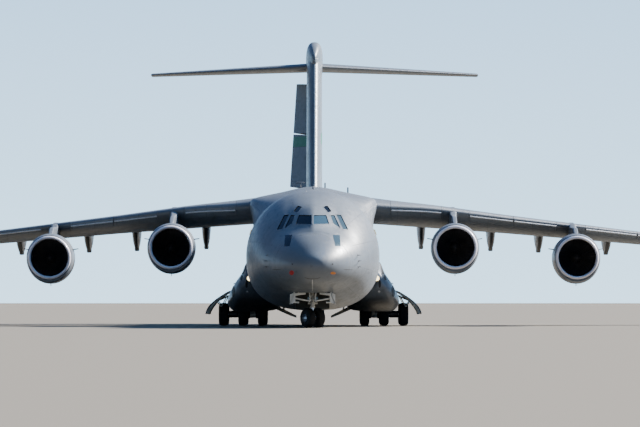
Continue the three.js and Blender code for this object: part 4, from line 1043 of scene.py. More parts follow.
a, b = (wingAt(x, wing["hinge"]) for x in aileronEnds)
along = (b - a).normalized()
radii = [wingRow(x)[4] * halfThickness(wing["hinge"]) for x in aileronEnds]
aileron, wingMesh = splitAtHinge(wingMesh, a, b, *radii, Vector((-along.y, along.x, 0)), (-along, along))
bothSides("aileron_skin", aileron, "wing", "aileron_panel_%", stands=["aileron_%"])


def hosePipe(points, radius, turns=8):
    # a hose through a few points
    look = smoothTable([(i, *point) for i, point in enumerate(points)])
    last = len(points) - 1

    def place(u, v):
        t = v * last
        middle = Vector(look(t))
        ahead = Vector(look(min(last, t + 0.05))) - Vector(look(max(0, t - 0.05)))
        side = ahead.normalized().orthogonal().normalized()
        other = ahead.normalized().cross(side)
        angle = 2 * pi * u
        return middle + (side * cos(angle) + other * sin(angle)) * radius

    return tube(turns, 24, place)


# Slats along the leading edge, cut free by a narrow seam
slats = {
    # inner and outer ends; two places are left out, where the pylons stand
    "spans": [(4.15, 6.95), (8.45, 10.9), (10.9, 13.35), (14.95, 17.9), (17.9, 20.9), (20.9, 23.9)],
    "under": 0.006, "over": 0.14, "seam": 0.014, "lip": 0.04,
}


def slatTool(x0, x1, grow):
    # what lies ahead of the slats' rear edges, between two spans
    over, under, corners = slats["over"], slats["under"], []
    for x, share, side in ((x0, over, 1), (x0, under, -1), (x1, under, -1), (x1, over, 1)):
        row = wingRow(x)
        height = row[2] + side * (halfThickness(share) * row[4] + 0.4)
        corners.append((x, row[1] + share * row[3] + grow, height))
    return prism(corners, (0, -6, 0))


slatParts, highlightLips, slatCuts = [], [], []
for x0, x1 in slats["spans"]:
    space = slatTool(x0 + slats["seam"], x1 - slats["seam"], 0)
    slatParts.append(shaped(wingBlank.copy(), [space], "INTERSECT"))
    slatCuts.append(slatTool(x0, x1, slats["seam"]))
    # painted highlight: a thin light tube along each slat's lower edge
    lip = []
    for x in steps(x0 + 0.05, x1 - 0.05, 6):
        row = wingRow(x)
        share = slats["under"]
        height = row[2] + noseRise(x, share, row[3]) - halfThickness(share) * row[4]
        lip.append((x, row[1] + share * row[3] - 0.01, height))
    highlightLips.append(hosePipe(lip, slats["lip"], 12))
wingMesh = shaped(wingMesh, slatCuts)
bothSides("slats", gather(*slatParts), "slat")
# the light tubes along the slats' edges are a painted highlight
bothSides("slat_edges_painted_highlight", gather(*highlightLips), "bright")
bothSides("wing_skin", wingMesh, "wing", stands=["wing_%"])
print("wing, ailerons and slats made")

tip = wingRow(wing["tip"])
wingletRows = smoothTable([
    # step, outward, aft, up, chord, thickness, roll
    (0, 0.0008, 0, 0, tip[3], tip[4], 0.0),
    (1, 0.22, 0.2, 0.03, 2.95, 0.34, 0.35),
    (2, 0.4, 0.5, 0.25, 2.6, 0.28, 1.0),
    (3, 0.47, 0.8, 0.6, 2.3, 0.24, 1.35),
    (4, 0.73, 2.6, 2.9, 1.15, 0.12, 1.45),
])
rows = []
for t in steps(0, 3, 24) + steps(3, 3.9, 8)[1:] + [3.95, 3.98, 3.995, 4]:
    x, y, z, chord, thickness, roll = wingletRows(t)
    blunt = sqrt(max(0.0, 1 - max(0, (t - 3.9) / 0.1) ** 2)) * 0.85 + 0.15
    rows.append((tip[0] + x, tip[1] + y, tip[2] + z, chord, thickness * blunt, roll))
bothSides("winglet_skin", foilSurface(rows, 72), "wing", stands=["winglet_%"])
print("winglets made")


# Fin, rudders and tailplane
fin = {"low": (6.0, 36.04, 9.71, 0.93), "high": (15.7, 43.6, 6.1, 0.9), "hinge": 0.7, "rest": radians(37)}
rudder = {"bottom": 7.9, "split": 11.1, "top": 14.2, "endGap": 0.2, "splitGap": 0.08, "notch": (0.55, 0.15)}
cap = {"front": 43.2, "back": 51.2, "mid": 15.55, "halfHeight": 1.17, "halfWidth": 0.5}
tail = {"front": 45.0, "tipFront": 50.74, "chord": 5.6, "tipChord": 2.3, "z": 15.25, "tipZ": 15.02,
        "tip": 9.905, "thickness": (0.52, 0.2), "hinge": 0.7, "inner": 0.62}


def finRow(z):
    t = (z - fin["low"][0]) / (fin["high"][0] - fin["low"][0])
    front, chord, thickness = (low + (high - low) * t for low, high in zip(fin["low"][1:], fin["high"][1:]))
    return 0.0, front, z, chord, thickness, pi / 2


def finPoint(z):
    row = finRow(z)
    return Vector((0, row[1] + fin["hinge"] * row[3], z))


finBlank = foilSurface([finRow(z) for z in steps(6.0, 15.7, 16)], 64)
finMesh = shaped(finBlank.copy(), [hullBlank.copy()])
low, split, high = (finPoint(rudder[key]) for key in ("bottom", "split", "top"))
start = finPoint(rudder["split"] + rudder["splitGap"])
along = (high - low).normalized()
aftward = Vector((0, along.z, -along.y))
radii = [finRow(rudder[key])[4] * halfThickness(fin["hinge"]) for key in ("bottom", "split", "top")]
down, up = -zAxis, zAxis
halfGap, gap = rudder["splitGap"] / 2, aircraft["gap"]
rudderFacts = {
    "lower": ((low, split, *radii[:2], aftward, (down, up)), (rudder["endGap"], halfGap)),
    "upper": ((start, high, *radii[1:], aftward, (down, up)), (halfGap, rudder["endGap"])),
}
notchMiddle = finPoint(rudder["split"] + halfGap)
notchRadius, notchReach = rudder["notch"]
for name, (facts, endGaps) in rudderFacts.items():
    notch = bar(notchMiddle - along * notchReach, notchMiddle + along * notchReach, notchRadius, turns=48)
    bm = shaped(finBlank.copy(), [hingeSpace(*facts, 0, endGaps)], "INTERSECT")
    bm = shaped(bm, [notch])
    finMesh = shaped(finMesh, [hingeSpace(*facts, gap, endGaps)])
    for face in bm.faces:
        face.material_index = 1 if abs(face.normal.z) > 0.9 else 0
    bmesh.ops.rotate(bm, cent=at(*low), matrix=Matrix.Rotation(fin["rest"], 3, along), verts=bm.verts)
    piece("rudder_" + name + "_skin", bm, ["fin", "seam"], name + "_rudder", stands=["rudder_" + name])
piece("fin_skin", finMesh, "fin", stands=["fin"])

capShare = smoothTable([(0, 0.0), (0.05, 0.45), (0.14, 0.78), (0.32, 1), (0.74, 0.97), (1, 0.16)], sqrt)


def capPoint(u, v):
    t = v**1.3
    share, angle = capShare(t)[0], 2 * pi * u
    y = cap["front"] + (cap["back"] - cap["front"]) * t
    c, s = (copysign(abs(part) ** 0.75, part) for part in (cos(angle), sin(angle)))
    return cap["halfWidth"] * share * c, y, cap["mid"] + cap["halfHeight"] * share * s


piece("fin_cap", tube(48, 60, capPoint), "cap")


def tailRow(x):
    t = abs(x) / tail["tip"]

    def mix(first, last):
        return first + (last - first) * t

    blunt = sqrt(max(0, 1 - max(0, (abs(x) - tail["tip"] + 0.08) / 0.08) ** 2)) * 0.9 + 0.1
    thickness = mix(*tail["thickness"]) * blunt
    y, z = mix(tail["front"], tail["tipFront"]), mix(tail["z"], tail["tipZ"])
    return x, y, z, mix(tail["chord"], tail["tipChord"]), thickness, 0.0


def tailPoint(x):
    row = tailRow(x)
    return Vector((x, row[1] + tail["hinge"] * row[3], row[2]))


half = steps(0.0001, tail["tip"] - 0.08, 14) + [tail["tip"] - gap for gap in (0.05, 0.025, 0.01, 0.003, 0)]
tailMesh = foilSurface([tailRow(x) for x in half], 64)
a, b = tailPoint(tail["inner"]), tailPoint(tail["tip"] + 0.2)
outward = (b - a).normalized()
back = Vector((-outward.y, abs(outward.x), 0))
radii = [tailRow(x)[4] * halfThickness(tail["hinge"]) for x in (tail["inner"], tail["tip"] - 0.1)]
elevator, tailMesh = splitAtHinge(tailMesh, a, b, *radii, back, (-xAxis, xAxis))
middle = tailPoint(0).y
tailMesh = shaped(tailMesh, [boxMesh(-1, tail["inner"], middle, 60, 14, 17)])
bothSides("elevator_skin", elevator, "tailplane", "elevator_panel_%", stands=["elevator_%"])
rightHalf = mirrored(tailMesh)
piece("tailplane_skin", gather(tailMesh, rightHalf), "tailplane", stands=["tailplane"])
print("tail made")


# Engines
engines = {"inner": (7.55, 15.7, 4.2), "outer": (14.2, 19.3, 3.69)}
cowl = {
    # distance behind the lip, radius
    "lip": [(0.2, 1.003), (0.12, 1.012), (0.06, 1.028), (0.02, 1.05), (0.0, 1.08), (0.012, 1.108),
            (0.035, 1.132), (0.075, 1.153), (0.13, 1.17), (0.13, 1.15), (0.2, 1.1)],
    "wall": [(0.142, 1.155), (0.142, 1.173), (0.3, 1.205), (0.5, 1.232), (0.85, 1.252), (1.3, 1.26),
             (1.44, 1.26), (1.446, 1.25), (1.458, 1.25), (1.464, 1.26), (1.9, 1.257), (2.5, 1.24),
             (2.62, 1.235), (2.626, 1.225), (2.638, 1.225), (2.644, 1.232), (3.0, 1.205), (3.4, 1.165),
             (3.75, 1.12), (3.9, 1.098), (3.905, 1.092), (3.9, 1.085), (3.5, 1.088), (2.9, 1.118),
             (2.3, 1.118), (1.9, 1.06), (1.58, 0.975), (1.46, 0.975), (1.4, 0.998), (0.9, 0.996),
             (0.205, 1.003), (0.205, 1.1)],
    "deep": 0.12, "high": 0.035, "wide": 0.02, "turns": 96,
}


def moved(bm, x, y, z):
    bmesh.ops.translate(bm, verts=bm.verts, vec=Vector((x, y, z)) * aircraft["scale"])
    return bm


def deepened(bm):
    # the cowl is a little taller than round, most of it below its centre line
    middle = at(0, 0, 0)
    for vert in bm.verts:
        radius = hypot(vert.co.x, vert.co.z) / aircraft["scale"]
        share = cowl["deep"] if vert.co.z < middle.z else cowl["high"]
        vert.co.z *= 1 + share * easeStep(radius, 1.13, 1.19)
        vert.co.x *= 1 + cowl["wide"] * easeStep(radius, 1.13, 1.19)
    return bm


def bladeRing(count, place, around, along):
    # blades set evenly round the engine's line
    bm = tube(around, along, place)
    spun = {"cent": at(*zero), "axis": yAxis, "angle": 2 * pi * (count - 1) / count, "steps": count - 1}
    bmesh.ops.spin(bm, geom=bm.verts[:] + bm.edges[:] + bm.faces[:], use_duplicate=True, **spun)
    return bm


# radii, with values at the root and what they gain towards the tip
fanShape = {"count": 36, "root": 0.31, "reach": 0.668, "chord": (0.2, 0.15), "tipFrom": 0.8, "tipLoss": 0.3,
            "pitch": (28, 34), "thick": (0.011, -0.007), "bow": 0.03, "station": 1.22, "sweep": 0.05}
vaneShape = {"count": 28, "root": 0.5, "reach": 0.625, "half": 0.2, "thick": 0.016, "bow": 0.05,
             "station": 2.6}


def fanBlade(u, v):
    chord, pitch, thick = (fanShape[key][0] + fanShape[key][1] * v for key in ("chord", "pitch", "thick"))
    chord -= fanShape["tipLoss"] * max(0, v - fanShape["tipFrom"])
    radius, angle, pitch = fanShape["root"] + fanShape["reach"] * v, 2 * pi * u, radians(pitch)
    along = chord / 2 * cos(angle)
    across = thick * sin(angle) + fanShape["bow"] * (1 - (2 * along / chord) ** 2)
    y = fanShape["station"] + along * cos(pitch) - across * sin(pitch) + fanShape["sweep"] * sin(v * 2.6)
    x = along * sin(pitch) + across * cos(pitch)
    return x, y, sqrt(max(0, radius * radius - x * x))


def guideVane(u, v):
    radius, angle = vaneShape["root"] + vaneShape["reach"] * v, 2 * pi * u
    along = vaneShape["half"] * cos(angle)
    across = vaneShape["thick"] * sin(angle) + vaneShape["bow"] * (1 - (along / vaneShape["half"]) ** 2)
    return across, vaneShape["station"] + along, sqrt(radius * radius - across * across)


core = {
    "body": [(1.48, 0.0), (1.48, 0.36), (1.9, 0.46), (2.4, 0.6), (2.9, 0.71), (3.4, 0.795), (3.9, 0.79),
             (4.25, 0.745), (4.262, 0.732), (4.274, 0.732), (4.286, 0.74), (4.7, 0.675), (5.1, 0.603),
             (5.108, 0.593), (5.12, 0.593), (5.128, 0.6), (5.6, 0.53), (5.99, 0.462), (6.0, 0.455),
             (5.99, 0.447), (5.5, 0.44), (5.0, 0.46), (5.0, 0.0)],
    "plug": [(4.9, 0.0), (4.9, 0.33), (5.2, 0.31), (5.5, 0.25), (5.8, 0.14), (5.93, 0.06), (5.97, 0.02),
             (5.98, 0.0)],
    "hub": [(0.6, 0), (0.615, 0.035), (0.66, 0.085), (0.75, 0.155), (0.86, 0.225), (0.98, 0.288),
            (1.08, 0.325), (1.1, 0.318), (1.11, 0.33), (1.44, 0.345), (1.44, 0.0)],
    "strake": [(1.16, 0.85, 0.412), (1.42, 1.4, 0.46), (1.47, 1.95, 0.47), (1.2, 2.1, 0.422)],
    "mast": [(0, 1.65, -1.32), (0, 1.95, -1.32), (0, 1.98, -1.52), (0, 1.85, -1.52)],
}
engineSet = {
    "wall": deepened(turned(cowl["wall"], zero, yAxis, cowl["turns"], loop=True)),
    "lip": turned(cowl["lip"], zero, yAxis, cowl["turns"], loop=True),
    "strake": prism(core["strake"], (0.012, 0, 0.045), 0.01, 2),
    "fan": bladeRing(fanShape["count"], fanBlade, 14, 8),
    "hub": turned(core["hub"], zero, yAxis, 48),
    "vanes": bladeRing(vaneShape["count"], guideVane, 12, 4),
    "core": turned(core["body"], zero, yAxis, 64),
    "plug": turned(core["plug"], zero, yAxis, 48),
    "mast": prism(core["mast"], (0.03, 0, 0), 0.006, 2),
}


def insideDuct(x, y, z):
    radius = hypot(x, z)
    return radius < 1.1 and y < 3.901 or radius < 1.15 and y < 0.44


# painted shade: the inside of the duct takes the near-black liner
recolour(engineSet["wall"], 1, insideDuct)
painted(engineSet["strake"], 1)
engineSet["otherStrake"] = mirrored(engineSet["strake"])
fanRoom = turned([(0, 0), (0, 0.982), (3, 0.982), (3, 0)], zero, yAxis, 96)
engineSet["fan"] = shaped(engineSet["fan"], [fanRoom], "INTERSECT")


def pylonMesh(name):
    x, lip, z = engines[name]
    row = wingRow(x)
    nose, mid, half = row[1], row[2], row[4] / 2
    tops = smoothTable([
        (lip + 0.95, z + 1.13), (lip + 1.3, z + 1.31), (lip + 2.6, z + 1.66), (nose - 0.6, mid + 0.2),
        (nose + 0.1, mid + 0.4), (nose + 0.7, mid + half + 0.03), (nose + 1.3, mid + half + 0.075),
        (nose + 1.9, mid + half + 0.06), (nose + 2.5, mid + half - 0.09), (nose + 4.4, mid + 0.05),
    ])
    lows = smoothTable([
        (lip + 0.95, z + 1.05), (lip + 3.5, z + 0.98), (lip + 4.1, z + 0.93), (nose + 0.6, z + 0.9),
        (nose + 2.4, mid - half - 0.2), (nose + 4.4, mid - half + 0.02),
    ])

    def place(u, v):
        y = lip + 0.95 + (nose + 3.45 - lip) * (v**1.5)
        top, low = tops(y)[0], lows(y)[0]
        width = 0.13 + 0.09 * easeStep(y, nose - 1.5, nose + 0.2)
        width *= sqrt(1 - (1 - min(1, (y - lip - 0.94) / 1.1)) ** 2)
        width *= 1 - 0.75 * easeStep(y, nose + 1.6, nose + 4.4)
        width *= 1 - 0.15 * easeStep(y, nose - 0.4, nose + 2.4)
        angle = 2 * pi * u
        c, s = cos(angle), sin(angle)
        height = copysign(abs(s) ** 0.32, s)
        across = copysign(abs(c) ** 0.45, c)
        return x + width * across, y, (top + low) / 2 + (top - low) / 2 * height

    # the cowl's outside, filled in, which the pylon stands on
    solidCowl = [(y, radius + 0.001) for y, radius in cowl["wall"][1:20]] + [(3.9, 0), (0.142, 0)]
    filled = moved(deepened(turned(solidCowl, zero, yAxis, 96, loop=True)), x, lip, z)
    return shaped(tube(44, 80, place), [filled])


def fitted(name, *parts):
    # the set's parts at one of the engines
    return gather(*(moved(engineSet[part].copy(), *engines[name]) for part in parts))


for name in engines:
    end, rotor, bare = name + "_%", "fan_rotor_" + name + "_%", {"slot": "engine_metal"}
    cowling = fitted(name, "wall", "strake", "otherStrake", "mast")
    bothSides("cowl_" + name, cowling, ["cowl", "duct"], stands=["nacelle_" + end])
    bothSides("inlet_lip_" + name, fitted(name, "lip"), "lip", **bare)
    bothSides("fan_blades_" + name, fitted(name, "fan"), "fan", rotor, "fan_metal", ["fan_" + end])
    bothSides("spinner_" + name, fitted(name, "hub"), "spinner", rotor, "fan_metal")
    bothSides("guide_vanes_" + name, fitted(name, "vanes"), "duct", **bare)
    bothSides("core_nozzle_" + name, fitted(name, "core", "plug"), "hot", stands=["engine_" + end], **bare)
    bothSides("pylon_skin_" + name, pylonMesh(name), "cowl", stands=["pylon_" + end])
print("engines made")


# Gear
gear = {
    "main": {"radius": 0.6272, "half": 0.2665, "rim": 0.27, "tyres": (2.8, 3.87, 4.94), "holes": 10,
             "axle": 0.088, "post": 3.335, "axles": {"front": 24.8, "rear": 27.3}},
    "nose": {"radius": 0.5017, "half": 0.203, "rim": 0.2, "tyres": (-0.3, 0.3), "holes": 8, "axle": 0.0495,
             "y": 6.05, "steer": radians(35)},
    "bay": (23.75, 28.35),
}
wheel = {
    "grooves": (-0.5, -0.17, 0.17, 0.5),  # places across the tread, as shares of half its width
    "groove": [(-0.014, 0), (-0.009, -0.014), (0.009, -0.014), (0.014, 0)],
    "disc": [
        # share of half the width, share of the rim's radius, added radius
        (-0.72, 0, 0.0), (-0.72, 0, 0.075), (-0.55, 0, 0.1), (-0.28, 0.52, 0), (-0.3, 0.74, 0),
        (-0.66, 0.9, 0), (-0.97, 0.97, 0), (-1.0, 1.02, 0), (-0.92, 1.05, 0), (0.92, 1.05, 0),
        (1.0, 1.02, 0),
        (0.97, 0.97, 0), (0.6, 0.92, 0), (0.25, 0.82, 0), (0.2, 0.5, 0), (0.45, 0, 0.1), (0.62, 0, 0.08),
        (0.62, 0, 0.0),
    ],
    "discs": (0, 0.028, 0.056), "discThick": 0.016,
    "sleeve": [(4.16, 0.08), (4.16, 0.15), (4.2, 0.19), (4.61, 0.19), (4.65, 0.15), (4.65, 0.08)],
}


def boltRing(x0, x1, ring, radius, count, turns):
    spots = [(ring * cos(a), ring * sin(a)) for a in (2 * pi * i / count for i in range(count))]
    return gather(*(bar((x0, *spot), (x1, *spot), radius, turns=turns) for spot in spots))


def tyreProfile(radius, half, rim):
    # a rounded tread, with its points near a groove replaced by the groove's own
    profile = []
    for i in range(29):
        angle = pi * i / 28
        across = half * copysign(abs(cos(angle)) ** 0.72, -cos(angle))
        profile.append((across, rim + (radius - rim) * abs(sin(angle)) ** 0.42))
    crown = []
    for share in wheel["grooves"]:
        near = [height for across, height in profile if abs(across - share * half) < half * 0.12]
        height = sum(near) / len(near) if near else max(height for _, height in profile)
        crown += [(share * half + across, height + up) for across, up in wheel["groove"]]
    kept = [p for p in profile if all(abs(p[0] - share * half) > 0.03 for share in wheel["grooves"])]
    profile = sorted(kept + crown, key=lambda p: (p[0], p[1] if p[0] < 0 else -p[1]))
    return [(-half * 0.9, rim - 0.012), *profile, (half * 0.9, rim - 0.012)]


def wheelMesh(radius, half, rim, holes):
    # a grooved tyre on its rim, with a dished and drilled disc, bolts and brake discs
    tyre = turned(tyreProfile(radius, half, rim), zero, xAxis, 72, loop=True)
    disc = turned(
        [(half * across, rim * share + more) for across, share, more in wheel["disc"]], zero, xAxis, 56
    )
    disc = shaped(disc, [boltRing(-1, 1, rim * 0.64, rim * 0.1, holes, 12)])
    bolts = boltRing(-half * 0.79, -half * 0.7, 0.06, 0.011, 8, 6)
    brakes = []
    for start in wheel["discs"]:
        near, far = half * 0.3 + start, half * 0.3 + start + wheel["discThick"]
        ring = [(near, 0.1), (near, rim * 0.83), (far, rim * 0.83), (far, 0.1)]
        brakes.append(turned(ring, zero, xAxis, 40, loop=True))
    return gather(tyre, painted(disc, 1), painted(bolts, 2), painted(gather(*brakes), 3))


def wheelSet(kind):
    facts = gear[kind]
    tyres = facts["tyres"]
    parts = []
    for x in tyres:
        oneWheel = wheelMesh(facts["radius"], facts["half"], facts["rim"], facts["holes"])
        if x > 3.3 or 0 < x < 1:
            oneWheel = mirrored(oneWheel)
        parts.append(moved(oneWheel, x, 0, 0))
    if kind == "main":
        parts.append(painted(turned(wheel["sleeve"], zero, xAxis, 36, loop=True), 3))
    axle = bar((tyres[0], 0, 0), (tyres[-1], 0, 0), facts["axle"], turns=28)
    return gather(*parts, painted(axle, 2))


wheelCoats = ["rubber", "hub", "steel", "brake"]
hubHeight = gear["main"]["radius"]
for place, y in gear["main"]["axles"].items():
    name = "main_wheels_" + place
    wheels = moved(wheelSet("main"), 0, y, hubHeight)
    bothSides(name, wheels, wheelCoats, "main_wheel_set_" + place + "_%", "tyre_rubber", [name + "_%"], 40)

mainLeg = {
    # height, radius
    "post": [(1.95, 0.0), (1.95, 0.172), (1.5, 0.172), (1.47, 0.185), (1.41, 0.185), (1.38, 0.168),
             (1.02, 0.16), (0.99, 0.178), (0.94, 0.178), (0.92, 0.15), (0.92, 0.0)],
    "foot": [(0.66, 0.0), (0.66, 0.14), (0.78, 0.132), (0.8, 0.11), (0.8, 0.0)],
    # distance along the axle, radius
    "bearing": [(-0.16, 0.0915), (-0.16, 0.17), (-0.13, 0.2), (0.13, 0.2), (0.16, 0.17), (0.16, 0.0915)],
    "brakeHousing": [
        (0.165, 0.0915), (0.165, 0.2), (0.19, 0.235), (0.24, 0.235), (0.255, 0.22), (0.255, 0.0915)
    ],
    "scissor": {"low": (0, 0.16, 0.72), "knee": (0, 0.4, 0.93), "high": (0, 0.16, 1.3), "spread": 0.075,
                "radii": (0.024, 0.02), "soft": 0.004, "pin": (0.11, 0.033, 16, 0.006)},
    # from the post: outward, towards its end of the bay, height; two radii, sides, rounding
    "braces": [((-0.1, 0, 1.35), (-1.405, 0.1, 1.83), 0.06, 0.05, 16, 0.01),
               ((0, -0.1, 1.3), (0, -1.0, 1.93), 0.052, 0.045, 16, 0.01),
               ((0.13, 0, 1.62), (0.715, -0.35, 1.93), 0.04, 0.04, 14, 0.008)],
    "rams": [
        ((0, 0, 0.78), (0, 0, 1.0), 0.112, 0.112, 32),
        ((-0.55, 0.02, 1.5), (-0.95, 0.04, 1.6), 0.034, 0.034, 14)
    ],
    "hoses": [[(-0.1, -0.12, 1.45), (-0.2, -0.19, 1.2), (-0.22, -0.2, 0.95), (-0.24, -0.14, 0.7)],
              [(0.1, -0.12, 1.45), (0.2, -0.17, 1.2), (0.22, -0.2, 0.95), (0.24, -0.14, 0.7)]],
}


def rods(rows, shift=lambda *point: point):
    return [bar(shift(*start), shift(*end), *rest) for start, end, *rest in rows]


def scissorRods(facts):
    # a pair of links below and above a knee, with a pin at each joint
    low, knee, high = facts["low"], facts["knee"], facts["high"]
    rows = []
    for start, end in ((low, knee), (knee, high)):
        for side in (-facts["spread"], facts["spread"]):
            rows.append(((side, *start[1:]), (side, *end[1:]), *facts["radii"], 12, facts["soft"]))
    reach, radius, turns, soft = facts["pin"]
    return rows + [
        ((-reach, *point[1:]), (reach, *point[1:]), radius, radius, turns, soft)
        for point in (knee, high, low)
    ]


def mainLegMesh(y, aft):
    x = gear["main"]["post"]
    hub = (x, y, hubHeight)

    def spot(across, along, up):
        return x + across, y + aft * along, up

    white = [turned(mainLeg["post"], (x, y, 0), zAxis, 36), turned(mainLeg["foot"], (x, y, 0), zAxis, 28),
             turned(mainLeg["bearing"], hub, xAxis, 36, loop=True)]
    white += rods(scissorRods(mainLeg["scissor"]) + mainLeg["braces"], spot)
    dark = [hosePipe([spot(*point) for point in hose], 0.012) for hose in mainLeg["hoses"]]
    for side in (-1, 1):
        housing = [(side * along, radius) for along, radius in mainLeg["brakeHousing"]]
        dark.append(turned(housing, hub, xAxis, 40, loop=True))
    rams = rods(mainLeg["rams"], spot)
    return gather(*white, painted(gather(*rams), 1), painted(gather(*dark), 2))


for place, y in gear["main"]["axles"].items():
    name, aft = "main_leg_" + place, -1 if place == "front" else 1
    coats = ["white", "steel", "black"]
    bothSides(name + "_parts", mainLegMesh(y, aft), coats, slot="gear_paint", stands=[name + "_%"])
print("main gear made")

# Nose gear
noseY, noseZ = gear["nose"]["y"], gear["nose"]["radius"]
noseLeg = {
    # height, radius
    "post": [(2.4, 0.0), (2.4, 0.11), (2.22, 0.11), (2.2, 0.075), (1.62, 0.075), (1.6, 0.095), (1.5, 0.095),
             (1.48, 0.075), (1.36, 0.075), (1.34, 0.105), (1.16, 0.105), (1.13, 0.1), (1.12, 0.085),
             (1.12, 0.0)],
    "bearing": [
        (-0.09, 0.0515), (-0.09, 0.09), (-0.075, 0.11), (0.075, 0.11), (0.09, 0.09), (0.09, 0.0515)
    ],
    "foot": [(0.53, 0.0), (0.53, 0.1), (0.66, 0.096), (0.7, 0.08), (0.7, 0.0)],
    "collar": [(1.03, 0.0), (1.03, 0.11), (1.1, 0.125), (1.11, 0.11), (1.11, 0.0)],
    "scissor": {"low": (0, 0.1, 0.62), "knee": (0, 0.34, 0.86), "high": (0, 0.11, 1.07), "spread": 0.05,
                "radii": (0.018, 0.016), "soft": 0.003, "pin": (0.075, 0.024, 14, 0.004)},
    # from the post: outward, aft, height; two radii, sides, rounding
    "braces": [((-0.11, 0.08, 1.56), (-0.3, 0.86, 2.36), 0.04, 0.04, 14, 0.008),
               ((0.11, 0.08, 1.56), (0.3, 0.86, 2.36), 0.04, 0.04, 14, 0.008),
               ((0, -0.1, 1.7), (0, -1.25, 2.36), 0.05, 0.05, 16, 0.01),
               ((-0.25, -0.02, 1.25), (0.25, -0.02, 1.25), 0.05, 0.05, 20, 0.01)],
    "lampBar": ((-0.24, -0.03, -0.035), (0.24, 0.03, 0.035), 0.012),
    "hose": [(0.1, -0.13, 2.3), (0.15, -0.16, 1.9), (0.14, -0.14, 1.6), (0.1, -0.14, 1.3)],
    "lampShell": [(0.12, 0.0), (0.12, 0.04), (0.06, 0.075), (-0.03, 0.088), (-0.045, 0.088), (-0.045, 0.08),
                  (-0.02, 0.076), (-0.02, 0)],
    "lampGlass": [(-0.024, 0.0), (-0.03, 0.04), (-0.026, 0.075), (-0.018, 0.075), (-0.018, 0)],
}


def behindNose(across, along, up):
    return across, noseY + along, up


lampPlaces = [behindNose(side * 0.2, -0.2, 1.5) for side in (-1, 1)]
white = [turned(noseLeg["post"], (0, noseY, 0), zAxis, 40), *rods(noseLeg["braces"], behindNose),
         turnedBox(behindNose(0, -0.12, 1.42), (xAxis, yAxis, zAxis), *noseLeg["lampBar"])]
dark = [turned(noseLeg["lampShell"], centre, yAxis, 32) for centre in lampPlaces]
dark.append(hosePipe([behindNose(*point) for point in noseLeg["hose"]], 0.012))
legParts = gather(*white, painted(gather(*dark), 1))
piece("nose_leg_parts", legParts, ["white", "black"], slot="gear_paint", stands=["nose_leg"])
glass = gather(*(turned(noseLeg["lampGlass"], centre, yAxis, 32) for centre in lampPlaces))
piece("nose_taxi_lamps", glass, "pane", slot="gear_paint")


def steeredAt(bm):
    turn = Matrix.Rotation(gear["nose"]["steer"], 3, "Z")
    bmesh.ops.rotate(bm, cent=at(0, 0, 0), matrix=turn, verts=bm.verts)
    return moved(bm, 0, noseY, 0)


fork = [turned(noseLeg["bearing"], (0, 0, noseZ), xAxis, 36, loop=True),
        turned(noseLeg["foot"], zero, zAxis, 28),
        turned(noseLeg["collar"], zero, zAxis, 32), *rods(scissorRods(noseLeg["scissor"]))]
fork.append(painted(bar((0, 0, noseZ), (0, 0, 1.4), 0.075, turns=36), 1))
piece(
    "nose_fork_parts", steeredAt(gather(*fork)), ["white", "steel"], "steered_leg", "gear_paint",
    ["nose_fork"]
)
noseWheels = steeredAt(moved(wheelSet("nose"), 0, 0, noseZ))
piece("nose_wheel_parts", noseWheels, wheelCoats, "nose_wheel_pair", "tyre_rubber", ["nose_wheels"], 40)
print("nose gear made")


# Gear doors
def smoothCurve(points, count):
    look = smoothTable([(i, *point) for i, point in enumerate(points)])
    return [look((len(points) - 1) * i / count) for i in range(count + 1)]


def arcPlate(first, second, y0, y1, soft=0.0):
    ring = [(x, y0, z) for x, z in first] + [(x, y0, z) for x, z in reversed(second)]
    return prism(ring, (0, y1 - y0, 0), soft, 2)


def between(first, second, share):
    return [tuple(a + (b - a) * share for a, b in zip(*pair)) for pair in zip(first, second)]


outerDoor = {
    # lateral place and height along the skin and along the inside of the frames
    "skin": [(4.5, 1.935), (4.66, 1.885), (4.98, 1.7), (5.33, 1.465), (5.56, 1.27), (5.74, 1.07),
             (5.86, 0.86), (5.925, 0.665)],
    "inside": [(4.44, 1.86), (4.62, 1.8), (4.93, 1.6), (5.26, 1.345), (5.46, 1.11), (5.59, 0.93),
               (5.69, 0.74), (5.75, 0.575)],
    "ends": 0.1, "frames": 7, "flange": 0.05, "stringers": (3, 10, 17, 24),
    # lateral place and height of both ends, radius, sides, rounding
    "arm": ((4.05, 1.92), (5.3, 1.36), 0.035, 14, 0.006),
    "links": [((5.3, 1.36), (5.05, 1.03), 0.03, 12, 0.005), ((5.05, 1.03), (4.72, 1.66), 0.03, 12, 0.005)],
}


def crossRod(y, start, end, radius, turns, soft):
    return bar((start[0], y, start[1]), (end[0], y, end[1]), radius, turns=turns, soft=soft)


outerArc, innerArc = (smoothCurve(outerDoor[side], 28) for side in ("skin", "inside"))
midArc = between(outerArc, innerArc, 1 / 3)
front, back = gear["bay"][0] + outerDoor["ends"], gear["bay"][1] - outerDoor["ends"]
skinPlate = arcPlate(outerArc, midArc, front, back)
flange = outerDoor["flange"]
lining = [arcPlate(midArc[1:-1], innerArc[1:-1], y, y + flange)
          for y in steps(front + 0.005, back - flange - 0.005, outerDoor["frames"])]
for i in outerDoor["stringers"]:
    lining.append(arcPlate(midArc[i : i + 2], innerArc[i : i + 2], front + 0.02, back - 0.02))
lining.append(arcPlate(midArc[1:-1], between(midArc, innerArc, 0.14)[1:-1], front + 0.03, back - 0.03))
lining += [crossRod(y, *outerDoor["arm"]) for y in (front + 0.55, (front + back) / 2, back - 0.55)]
lining += [crossRod(y, *link) for y in (front + 0.06, back - 0.06) for link in outerDoor["links"]]
outerParts = gather(skinPlate, painted(gather(*lining), 1))
bothSides("main_door_outer_parts", outerParts, ["skin", "cream"], stands=["main_door_outer_%"])

